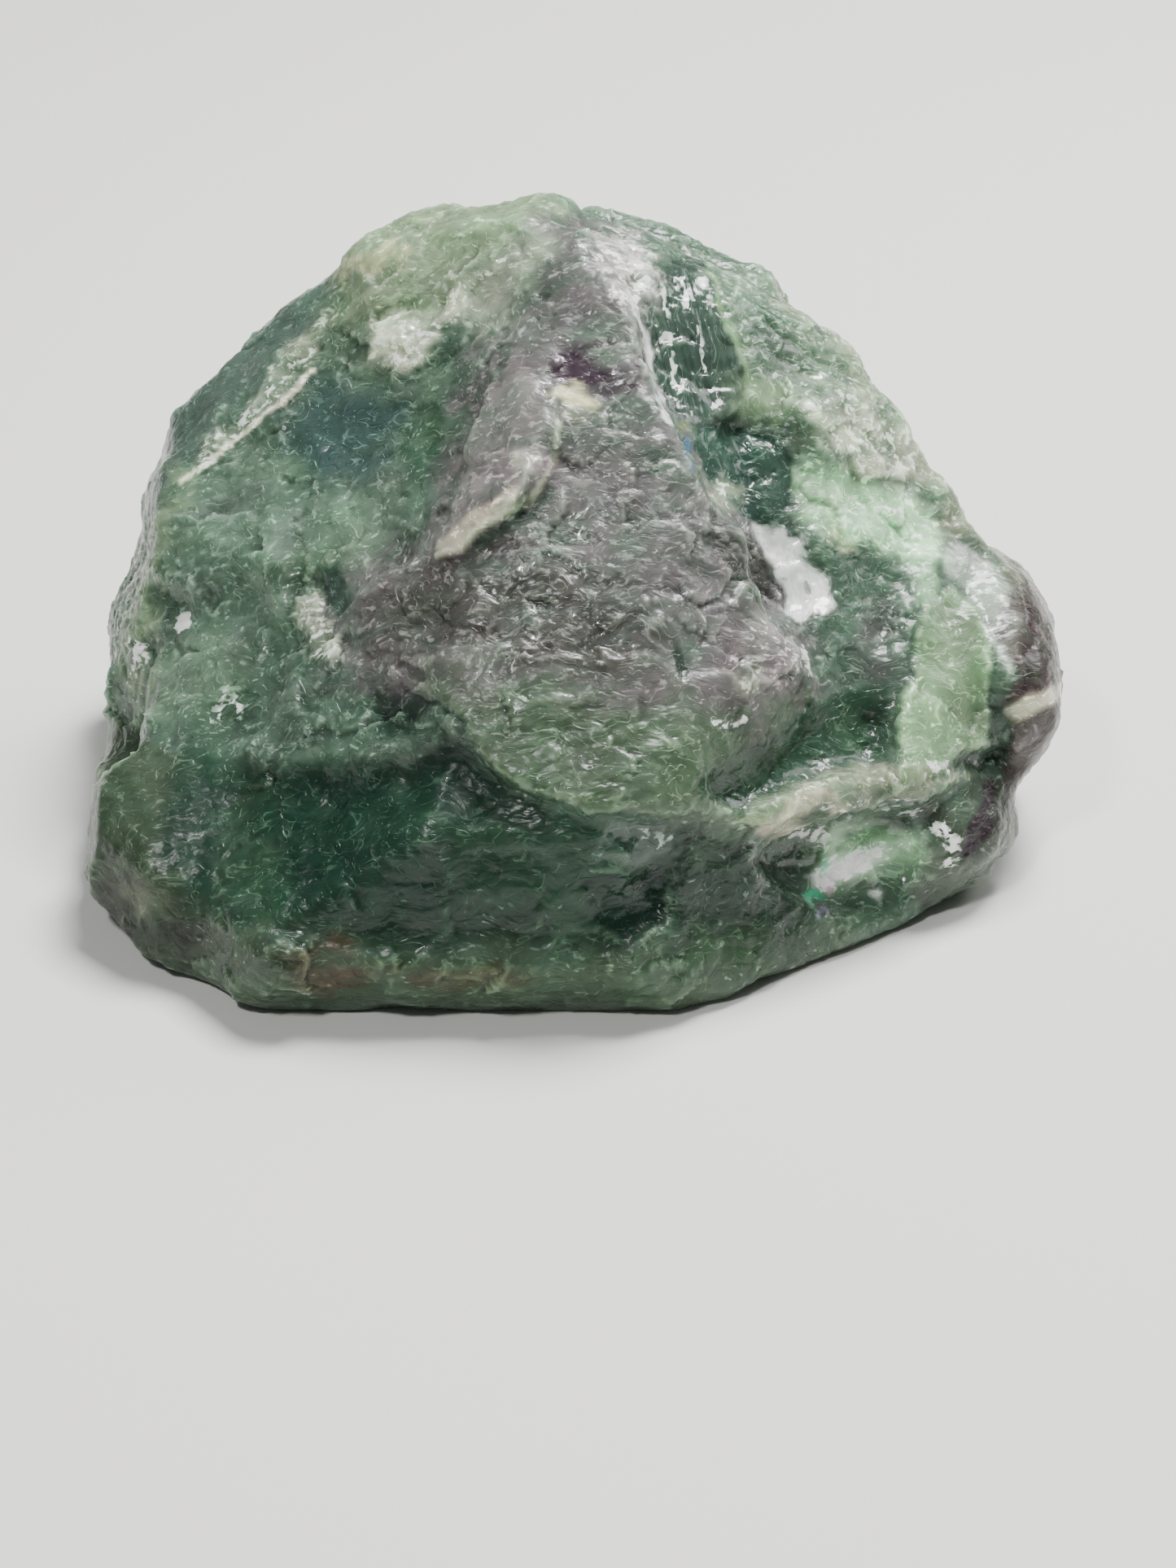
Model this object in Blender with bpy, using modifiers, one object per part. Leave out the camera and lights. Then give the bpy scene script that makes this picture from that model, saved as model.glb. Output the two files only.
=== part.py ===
"""Rough fluorite: one broken lump about 62 mm wide, green with a violet-grey plate on its front slope.

The lump is a main block split by flat cleavage faces. Raised plates and lobes are joined to it, notches
are broken out of it, and its faces are then roughened and cut to a flat base.
X runs to the right, Y away from the front, and Z up. The origin is under the middle of the lump, on its base.
Run it with: blender --background --python part.py
"""

from math import cos, radians, sin

import bmesh
import bpy
from mathutils import Matrix, Vector

MM = 0.001
ROUNDING = 0.01 * MM

# Driving sizes, in millimetres
BLANK = 90.0  # the cube of rough stone that each block is split from
BASE_LEVEL = 0.4  # the roughened underside is ground flat at this height

# Outlines are drawn as (right, up) in millimetres, each on a board that faces one side of the lump.
# A board is (azimuth that it faces, lean back in degrees, distance from the middle at which outlines start).
BOARDS = {"front": (270, 30, 0), "back": (90, 22, 14), "left": (180, 12, 19), "right": (0, 12, 17)}
PRISM_LENGTH = 60.0

# How the broken faces are roughened, in millimetres: (width of the lumps, height)
GRAIN = 0.6
ROUGHNESS = {"swells": (7.0, 0.9), "lumps": (2.6, 0.55)}
TRIANGLES = 8600
ALLOWANCE = 0.35  # the faces are split this much lower, because roughening lifts them

# Each face is (azimuth, elevation, a point on it). The first two turn its outward normal, in degrees:
# azimuth 0 faces right, 90 back, 180 left and 270 front, and elevation 90 faces up.
MAIN_FACES = {
    "front wall": (270, 6, (-5, -24.8, 4)),
    "front underside": (270, -35, (-6, -21.9, 0.3)),
    "front right underside": (288, -36, (4.5, -21.8, 0.3)),
    "front left wall": (228, 8, (-26, -18.3, 6)),
    "front left underside": (243, -35, (-22.4, -20.7, 0.3)),
    "left wall": (184, 8, (-30.2, -7, 8)),
    "left underside": (205, -38, (-28.4, -15, 1.8)),
    "left bevel": (172, 44, (-25.9, 14, 26.1)),
    "left upper shoulder": (180, 33, (-26.9, 9, 24.2)),
    "left shoulder": (181, 19, (-28.2, 6, 18.4)),
    "left strip": (194, 47, (-21, 5.2, 27)),
    "green slope": (227, 48, (-19.2, -15, 13.6)),
    "front slope": (272, 50, (0.8, -22, 14.9)),
    "right front slope": (312, 39, (18.8, -13, 10.4)),
    "right upper slope": (3, 57, (10.8, 9, 34.6)),
    "right slope": (1, 37, (19.8, 5.5, 26.2)),
    "right end": (355, 20, (29.4, 1.5, 12.9)),
    "right end underside": (345, -20, (30.2, 0, 9)),
    "right front wall": (303, 12, (21.5, -13.5, 2)),
    "right front underside": (303, -38, (10.6, -20.3, 0.3)),
    "right underside": (322, -42, (24.2, -8.2, 0.3)),
    "crown left": (180, 71, (-3.7, 11, 38.3)),
    "crown right": (0, 79, (-3.7, 11, 38.3)),
    "back wall": (90, 8, (0, 21, 10)),
    "back slope": (88, 48, (0, 14, 36)),
    "back left wall": (132, 14, (-24, 17, 14)),
    "back left slope": (128, 46, (-16, 16, 32)),
    "back right wall": (40, 12, (20, 12, 10)),
    "back right slope": (42, 45, (16, 13, 28)),
    "back underside": (90, -40, (0, 19, 3)),
    "base": (270, -90, (0, 0, 0)),
}

# A plate's top is the main block's surface, raised by this much and leaned by (degrees right, degrees down).
PLATES = {
    "violet plate": {
        "board": "front",
        "rise": 1.7,
        "lean": (-3, 1),
        "outline": [
            (-3.2, 36), (0, 36.5), (1.5, 33), (2.8, 30.5), (3.5, 27), (5.4, 23), (7.4, 19.6), (9.3, 18),
            (10.9, 16.5), (11.5, 14), (10.4, 12.4), (12.6, 10.8), (13, 8.8), (10, 7.4), (5, 8), (0, 9.2),
            (-5, 9.8), (-10, 8.8), (-14.5, 9.6), (-15.2, 12), (-12.5, 15), (-9, 17), (-8, 20), (-6.6, 24),
            (-5.6, 28), (-4.6, 32),
        ],
    },
    "tongue": {
        "board": "front",
        "rise": 2.9,
        "lean": (2, -4),
        "outline": [
            (-4.2, 30), (-2.2, 27), (-2, 23.6), (-2.9, 21), (-4.2, 19.4), (-6.4, 18.2), (-9, 16.6),
            (-9.4, 17.5), (-8, 19.8), (-7.4, 22.5), (-6, 26),
        ],
    },
    "crown": {
        "board": "front",
        "rise": 0.9,
        "lean": (0, -2),
        "outline": [
            (-16, 36), (-14.6, 33), (-14.2, 30.2), (-11.6, 28.4), (-9.6, 30.4), (-7.6, 32.6), (-5, 34.4),
            (-3.4, 36), (-1, 39), (-6, 43), (-14, 42),
        ],
    },
    "apron": {
        "board": "front",
        "rise": 1.2,
        "lean": (0, 5),
        "outline": [
            (-11, 9.4), (-8.6, 6.8), (-6.6, 5.2), (-5, 3.2), (-2.6, 2), (0, 1.2), (4.6, 0.9), (8, 1.2),
            (12, 3.4), (14, 8), (8, 10), (0, 11), (-8, 11),
        ],
    },
    "left lobe front": {
        "board": "front",
        "rise": 0.9,
        "lean": (0, 0),
        "outline": [
            (-25, 3.8), (-24.8, 0), (-25, -4), (-25.2, -8.4), (-28, -8), (-34, -3), (-34, 2), (-30, 4.4),
        ],
    },
    "shoulder": {
        "board": "front",
        "rise": 1.1,
        "lean": (4, -2),
        "outline": [
            (18.7, 9.5), (19.2, 13), (21, 17), (23.4, 16.6), (24.6, 14), (25.2, 12), (24.8, 9.6), (25.4, 7),
            (24.8, 4.8), (22.5, 4), (20.5, 2.2), (18.3, 1.8), (18.7, 5),
        ],
    },
    "cream ledge": {
        "board": "front",
        "rise": 1.3,
        "lean": (0, -6),
        "outline": [
            (8, 0.6), (11, 0.2), (13, 0.9), (16, 1.1), (20.4, 1.3), (23.5, 3), (20, 3.6), (17.4, 3.4),
            (15, 3.2), (12.6, 2.8),
        ],
    },
    "right terrace": {
        "board": "front",
        "rise": 0.7,
        "lean": (8, 3),
        "outline": [
            (12.6, 26.2), (15, 27.4), (18, 27), (22, 24), (24, 20), (21, 20.4), (18.4, 20.2), (17.2, 21.8),
            (14.6, 22), (13.4, 23.4),
        ],
    },
    "foot": {
        "board": "front",
        "rise": 0.5,
        "lean": (0, -8),
        "outline": [
            (-21, -7), (-14, -7.8), (-6, -7.2), (1, -7.6), (5, -6.4), (11, -5.6), (12, -8), (6, -12),
            (-16, -13), (-22, -10),
        ],
    },
    "right rib": {
        "board": "front",
        "rise": 0.7,
        "lean": (6, 0),
        "outline": [(6.6, 35.4), (7.6, 35.6), (9.6, 30), (10.4, 27.4), (12, 26.6), (9.4, 26.4), (8.4, 30)],
    },
    "back slab": {
        "board": "back",
        "rise": 1.9,
        "lean": (3, 4),
        "outline": [
            (-19, 7), (-15, 17), (-12, 24), (-5, 27), (1, 26), (5, 23), (2.4, 19), (5.4, 15), (3, 10),
            (-2, 11.5), (-7, 7.5), (-13, 8.5),
        ],
    },
    "back foot": {
        "board": "back",
        "rise": 1.3,
        "lean": (-4, -4),
        "outline": [
            (5, 8.6), (9, 12), (14, 11), (20, 14), (27, 9), (28, 0), (20, -8), (6, -9), (3, -2), (7, 3),
        ],
    },
    "left slab": {
        "board": "left",
        "rise": 0.8,
        "lean": (4, -3),
        "outline": [
            (-21, 3), (-17, 9), (-14, 13), (-8, 13.6), (-4, 11), (-6, 8), (-2, 5), (-5, 1), (-14, -1),
        ],
    },
    "right slab": {
        "board": "right",
        "rise": 1.1,
        "lean": (-3, -4),
        "outline": [(7, 22), (6, 19), (9, 16), (7, 13), (12, 10), (17, 12), (17, 18), (13, 22)],
    },
}

# A notch's floor is the main block's surface, lowered by this much and leaned in the same way.
NOTCHES = {
    "trough": {
        "board": "front",
        "depth": 1.1,
        "lean": (-8, 0),
        "outline": [
            (3.1, 29), (3.6, 32), (4.8, 34), (6.2, 35.4), (7.2, 34), (8.2, 30), (9, 27), (8.4, 25.4),
            (6, 24.2), (4.6, 24.6), (3.8, 26.4),
        ],
    },
    "pit": {
        "board": "front",
        "depth": 1.3,
        "lean": (10, -4),
        "outline": [
            (6.4, 24.6), (9.5, 25.4), (12.3, 24.2), (13.1, 21.8), (12.4, 19), (11, 18.2), (9.4, 18.2),
            (7.4, 19.8), (6.2, 22.2),
        ],
    },
    "bright facet": {
        "board": "front",
        "depth": 1.2,
        "lean": (-14, 0),
        "outline": [
            (10, 18.4), (12, 18.6), (13.8, 17), (15, 15.2), (14.6, 13.6), (12.4, 13), (10.6, 12.4),
            (9.6, 15),
        ],
    },
    "front recess": {
        "board": "front",
        "depth": 0.6,
        "lean": (0, -3),
        "outline": [
            (-22, 3.8), (-13, 3.4), (-10.6, 4.9), (-7.4, 5), (-5.2, 3.1), (-2.6, 1.9), (0, 1.1), (4.7, 0.7),
            (4.9, -2.5), (4.6, -6), (2, -6.9), (-5, -6.8), (-12, -7), (-18, -6.4), (-24.3, -5), (-24.6, 2),
        ],
    },
    "dark facet": {
        "board": "front",
        "depth": 1.0,
        "lean": (0, 0),
        "outline": [(-0.6, -2.6), (4.7, -2.2), (4.6, -5.6), (2.4, -6.4), (0.8, -5.4)],
    },
    "green facet": {
        "board": "front",
        "depth": 0.8,
        "lean": (0, -4),
        "outline": [
            (6.8, 3.2), (9.6, 5), (13, 7.2), (18.3, 8.8), (18.4, 4.4), (17.2, 3.8), (14.6, 3.2), (12, 2.2),
            (9, 1.4), (7, 1.8),
        ],
    },
    "scoop": {
        "board": "front",
        "depth": 1.6,
        "lean": (-8, -4),
        "outline": [
            (9.8, -1), (12, -0.2), (16, 0.6), (19.6, 0.8), (20.6, -1.2), (20.4, -3.6), (17, -5.4), (14, -5),
            (12, -3.8), (10.6, -2.8),
        ],
    },
    "right gap": {
        "board": "front",
        "depth": 1.0,
        "lean": (6, 0),
        "outline": [(25.6, 12), (26.6, 10), (26.2, 3.4), (24.2, 2.6), (22.6, 3.6), (24.8, 4.6), (25.6, 7)],
    },
    "sparkle hollow": {
        "board": "front",
        "depth": 1.2,
        "lean": (6, 0),
        "outline": [(-18.4, 16), (-16.6, 15.6), (-14.4, 13.4), (-14.6, 10.6), (-17, 10), (-18.6, 12)],
    },
    "left step": {
        "board": "front",
        "depth": 0.9,
        "lean": (5, 3),
        "outline": [
            (-27.6, 14), (-21, 15.6), (-18.4, 12.6), (-18, 9), (-20, 5), (-24, 4.2), (-26.4, 6.6),
            (-28, 10),
        ],
    },
    "back hollow": {
        "board": "back",
        "depth": 2.0,
        "lean": (-5, 5),
        "outline": [
            (8, 25), (13, 24), (19, 20), (21, 15), (15, 14), (12.4, 16), (9, 14.8), (8.4, 18), (6.6, 21),
        ],
    },
    "back corner": {
        "board": "back",
        "depth": 1.8,
        "lean": (-3, 0),
        "outline": [(-32, 12), (-22, 10), (-18, 5), (-19, -2), (-24, -8), (-34, -6)],
    },
    "left hollow": {
        "board": "left",
        "depth": 1.5,
        "lean": (-5, 4),
        "outline": [(-1, 11), (4, 13), (9, 11), (7, 7), (11, 4), (8, 0), (1, 1), (1.6, 6)],
    },
    "right hollow": {
        "board": "right",
        "depth": 1.6,
        "lean": (4, 5),
        "outline": [(9, 10), (14, 9), (20, 10.6), (22, 4), (17, -1), (11, 0), (12.4, 4.6)],
    },
}

# Each lobe is a rounded lump: (centre, half sizes, turn about Z in degrees), in millimetres
LOBES = {
    "violet lobe": ((25, 0.5, 11.3), (5.2, 9.5, 7), 12),
    "lower right lobe": ((21.4, -8.6, 4.4), (6.2, 5.2, 4.4), 40),
    "small left lobe": ((-28.4, -1.5, 9.6), (3.2, 4.6, 3.4), 10),
    "bottom lobe": ((-14.5, -18.4, 3.8), (9.5, 5, 3.8), -4),
}


def clear_scene():
    for obj in list(bpy.data.objects):
        bpy.data.objects.remove(obj, do_unlink=True)


def new_collection(name):
    collection = bpy.data.collections.new(name)
    bpy.context.scene.collection.children.link(collection)
    return collection


def direction(azimuth, elevation):
    """The unit vector that points this way, in degrees."""
    a, e = radians(azimuth), radians(elevation)
    return Vector((cos(a) * cos(e), sin(a) * cos(e), sin(e)))


def board_axes(board):
    """The directions to the right along the board, up it and out of it."""
    azimuth, lean, _ = BOARDS[board]
    return direction(azimuth + 90, 0), direction(azimuth + 180, 90 - lean), direction(azimuth, lean)


def on_board(board, *place):
    return sum((axis * value for axis, value in zip(board_axes(board), place)), Vector())


def surface_point(board, middle, rise):
    """Where a line at right angles to the board leaves the main block, raised by this much."""
    start = on_board(board, *middle)
    out = board_axes(board)[2]
    ways_out = []
    for azimuth, elevation, point in MAIN_FACES.values():
        normal = direction(azimuth, elevation)
        if normal.dot(out) > 0:
            ways_out.append(normal.dot(Vector(point) - start) / normal.dot(out))
    return start + out * (min(ways_out) + rise - ALLOWANCE)


def add_object(name, bm, collection):
    bmesh.ops.recalc_face_normals(bm, faces=bm.faces[:])
    mesh = bpy.data.meshes.new(name)
    bm.to_mesh(mesh)
    bm.free()
    obj = bpy.data.objects.new(name, mesh)
    collection.objects.link(obj)
    return obj


def as_helper(obj):
    obj.hide_render = True
    obj.display_type = "WIRE"
    return obj


def split_block(name, collection, rise=0.0):
    """A cube of rough stone, split along each main face in turn, with everything outside the face gone."""
    bm = bmesh.new()
    bmesh.ops.create_cube(bm, size=BLANK * MM)
    for azimuth, elevation, point in MAIN_FACES.values():
        normal = direction(azimuth, elevation)
        cut = bmesh.ops.bisect_plane(
            bm,
            geom=bm.verts[:] + bm.edges[:] + bm.faces[:],
            dist=1e-6,
            plane_co=(Vector(point) + normal * (rise - ALLOWANCE)) * MM,
            plane_no=normal,
            clear_outer=True,
        )
        edges = [e for e in cut["geom_cut"] if isinstance(e, bmesh.types.BMEdge)]
        bmesh.ops.contextual_create(bm, geom=edges)
    return add_object(name, bm, collection)


def prism(name, board, outline, collection):
    """The outline carried through the near side of the block, at right angles to the board."""
    bm = bmesh.new()
    near = BOARDS[board][2]
    corners = [bm.verts.new(on_board(board, right, up, near) * MM) for right, up in outline]
    sides = [bm.edges.new((a, b)) for a, b in zip(corners, corners[1:] + corners[:1])]
    flat = bmesh.ops.contextual_create(bm, geom=sides)["faces"]
    carried = bmesh.ops.extrude_face_region(bm, geom=flat)["geom"]
    moved = [v for v in carried if isinstance(v, bmesh.types.BMVert)]
    bmesh.ops.translate(bm, verts=moved, vec=board_axes(board)[2] * PRISM_LENGTH * MM)
    return as_helper(add_object(name, bm, collection))


def leaned_block(name, board, outline, rise, lean, collection):
    """The main block raised by this much, and turned a little about the middle of the outline."""
    block = as_helper(split_block(name, collection, rise))
    middle = [sum(values) / len(outline) for values in zip(*outline)]
    right, up, _ = board_axes(board)
    pivot = Matrix.Translation(surface_point(board, middle, rise) * MM)
    to_right = Matrix.Rotation(radians(lean[0]), 4, up)
    down = Matrix.Rotation(radians(lean[1]), 4, right)
    block.data.transform(pivot @ to_right @ down @ pivot.inverted())
    return block


def add_boolean(obj, operation, other):
    """Joins or cuts with the manifold solver: the exact one leaves a hole in this lump in some runs."""
    cut = obj.modifiers.new(operation.lower(), "BOOLEAN")
    cut.operation = operation
    cut.solver = "MANIFOLD"
    if isinstance(other, bpy.types.Collection):
        cut.operand_type = "COLLECTION"
        cut.collection = other
    else:
        cut.object = other


def raised_plate(name, plate, joined, helpers):
    board, outline = plate["board"], plate["outline"]
    top = leaned_block(name + " top", board, outline, plate["rise"], plate["lean"], helpers)
    add_boolean(prism(name, board, outline, joined), "INTERSECT", top)


def broken_notch(name, notch, cutters, helpers):
    board, outline = notch["board"], notch["outline"]
    floor = leaned_block(name + " floor", board, outline, -notch["depth"], notch["lean"], helpers)
    add_boolean(prism(name, board, outline, cutters), "DIFFERENCE", floor)


def lobe(name, centre, half_sizes, turn, collection):
    bm = bmesh.new()
    bmesh.ops.create_icosphere(bm, subdivisions=2, radius=MM)
    bmesh.ops.scale(bm, vec=Vector(half_sizes), verts=bm.verts[:])
    spin = Matrix.Rotation(radians(turn), 3, "Z")
    bmesh.ops.rotate(bm, cent=Vector(), matrix=spin, verts=bm.verts[:])
    bmesh.ops.translate(bm, vec=Vector(centre) * MM, verts=bm.verts[:])
    return as_helper(add_object(name, bm, collection))


def ground_box(collection):
    """Everything below the flat base."""
    bm = bmesh.new()
    bmesh.ops.create_cube(bm, size=BLANK * MM)
    bmesh.ops.translate(bm, vec=Vector((0, 0, BASE_LEVEL - BLANK / 2)) * MM, verts=bm.verts[:])
    return as_helper(add_object("ground", bm, collection))


def settle(stone, collection):
    """The joined and broken block as a mesh of its own.

    Its corners are rounded to a hundredth of a millimetre and put in order, so that each run gives the
    same faces.
    """
    graph = bpy.context.evaluated_depsgraph_get()
    bm = bmesh.new()
    bm.from_mesh(bpy.data.meshes.new_from_object(stone.evaluated_get(graph)))
    for vert in bm.verts:
        vert.co = [round(value / ROUNDING) * ROUNDING for value in vert.co]
    bmesh.ops.remove_doubles(bm, verts=bm.verts[:], dist=ROUNDING * 1.5)
    bmesh.ops.triangulate(bm, faces=bm.faces[:])

    def place(point):
        x, y, z = (round(value / ROUNDING) for value in point)
        return (x * 1e5 + y) * 1e5 + z

    bm.verts.sort(key=lambda vert: place(vert.co))
    bm.faces.sort(key=lambda face: place(face.calc_center_median()))
    return as_helper(add_object("settled block", bm, collection))


def roughen(stone):
    """Crumbles the sharp joins together, then swells and dents the faces like broken stone."""
    remesh = stone.modifiers.new("grain", "REMESH")
    remesh.mode = "VOXEL"
    remesh.voxel_size = GRAIN * MM
    for name, (width, height) in ROUGHNESS.items():
        pattern = bpy.data.textures.new(name, "CLOUDS")
        pattern.noise_scale = width * MM
        pattern.noise_depth = 2
        displace = stone.modifiers.new(name, "DISPLACE")
        displace.texture = pattern
        displace.texture_coords = "LOCAL"
        displace.strength = height * MM
        displace.mid_level = 0.5


def thin_out(stone):
    """Brings the faces down to a few thousand, flat where the stone is flat."""
    graph = bpy.context.evaluated_depsgraph_get()
    mesh = stone.evaluated_get(graph).to_mesh()
    mesh.calc_loop_triangles()
    dense = len(mesh.loop_triangles)
    stone.evaluated_get(graph).to_mesh_clear()
    decimate = stone.modifiers.new("fewer faces", "DECIMATE")
    decimate.ratio = TRIANGLES / dense


def fluorite_material():
    material = bpy.data.materials.new("rough fluorite")
    material.use_nodes = True
    shader = material.node_tree.nodes["Principled BSDF"]
    shader.inputs["Base Color"].default_value = (0.14, 0.22, 0.16, 1)
    shader.inputs["Roughness"].default_value = 0.35
    shader.inputs["Metallic"].default_value = 0.0
    material.diffuse_color = (0.14, 0.22, 0.16, 1)
    return material


def set_down(stone, collection):
    """The finished lump as one plain mesh, with its origin on the base, under its middle."""
    graph = bpy.context.evaluated_depsgraph_get()
    mesh = bpy.data.meshes.new_from_object(stone.evaluated_get(graph))
    corners = [v.co for v in mesh.vertices]
    middle = Vector([(min(c[i] for c in corners) + max(c[i] for c in corners)) / 2 for i in range(3)])
    mesh.transform(Matrix.Translation((-middle.x, -middle.y, -BASE_LEVEL * MM)))
    mesh.name = "fluorite"
    mesh.materials.clear()
    mesh.materials.append(fluorite_material())
    finished = bpy.data.objects.new("fluorite", mesh)
    collection.objects.link(finished)
    return middle / MM


def main():
    clear_scene()
    finished = new_collection("rough_fluorite")
    working = new_collection("working")
    joined, cutters, helpers = (new_collection(name) for name in ("joined", "notches", "helpers"))
    stone = as_helper(split_block("main block", working))
    for name, plate in PLATES.items():
        raised_plate(name, plate, joined, helpers)
    for name, (centre, half_sizes, turn) in LOBES.items():
        lobe(name, centre, half_sizes, turn, joined)
    for name, notch in NOTCHES.items():
        broken_notch(name, notch, cutters, helpers)
    add_boolean(stone, "UNION", joined)
    add_boolean(stone, "DIFFERENCE", cutters)
    stone = settle(stone, working)
    roughen(stone)
    thin_out(stone)
    add_boolean(stone, "DIFFERENCE", ground_box(helpers))
    middle = set_down(stone, finished)
    print("middle of the lump before it is set down, in mm:", [round(value, 2) for value in middle])


main()
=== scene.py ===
import math

import bpy
import numpy as np
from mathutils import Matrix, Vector, kdtree


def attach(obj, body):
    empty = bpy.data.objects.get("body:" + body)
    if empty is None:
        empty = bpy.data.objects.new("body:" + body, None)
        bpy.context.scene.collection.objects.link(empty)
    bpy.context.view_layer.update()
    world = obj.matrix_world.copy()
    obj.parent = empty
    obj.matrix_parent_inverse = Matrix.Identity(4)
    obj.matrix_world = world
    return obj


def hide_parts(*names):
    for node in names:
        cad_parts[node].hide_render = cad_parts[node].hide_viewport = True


# Rough fluorite: a broken, translucent green lump with a violet-grey plate on its front slope.
# Lengths are in millimetres in the dictionaries, and the meshes are in metres.

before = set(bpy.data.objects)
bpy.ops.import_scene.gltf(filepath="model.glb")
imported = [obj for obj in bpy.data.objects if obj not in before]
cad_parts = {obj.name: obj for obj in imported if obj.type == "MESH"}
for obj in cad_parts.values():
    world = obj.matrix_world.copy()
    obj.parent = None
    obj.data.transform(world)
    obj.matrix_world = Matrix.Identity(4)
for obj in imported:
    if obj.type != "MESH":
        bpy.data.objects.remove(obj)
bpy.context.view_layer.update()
bpy.ops.object.select_all(action="DESELECT")
mm = 0.001


def linear(hexColour):
    # sRGB hex to linear light
    parts = [int(hexColour[i:i + 2], 16) / 255 for i in (1, 3, 5)]
    return [p / 12.92 if p <= 0.04045 else ((p + 0.055) / 1.055) ** 2.4 for p in parts]


def smoothStep(low, high, value):
    t = np.clip((value - low) / (high - low), 0, 1)
    return t * t * (3 - 2 * t)


def unit(vectors):
    return vectors / np.maximum(np.linalg.norm(vectors, axis=-1, keepdims=True), 1e-12)


# Noise for the vertex moves: lumps of a given width in mm, from about -1 to 1

dice = np.random.default_rng(11)
slopes = unit(dice.normal(size=(256, 3)))
shuffled = dice.permutation(256)


def lumps(points, width, seed=0):
    scaled = points / width + seed * 19.7
    cell = np.floor(scaled).astype(int)
    inside = scaled - cell
    fade = inside ** 3 * (inside * (inside * 6 - 15) + 10)
    total = np.zeros(len(points))
    for corner in np.ndindex(2, 2, 2):
        x, y, z = ((cell + corner) % 256).T
        slope = slopes[shuffled[(shuffled[(shuffled[x] + y) % 256] + z) % 256]]
        share = np.prod(np.where(corner, fade, 1 - fade), axis=1)
        total += share * np.einsum("ij,ij->i", slope, inside - corner)
    return total * 1.7


def layeredLumps(points, width, layers, seed=0):
    return sum(lumps(points, width / 2 ** i, seed + i) / 2 ** i for i in range(layers))


# The front of the stone, drawn as (right, up) on a board that leans back by 30 degrees and faces the front

board = {
    "right": (1, 0, 0),
    "up": (0, 0.5, 0.866),
    "out": (0, -0.866, 0.5),
    "middle": (1.2, 0.8, -0.4),   # where the board's own zero stands, from the part's origin
}

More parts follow.
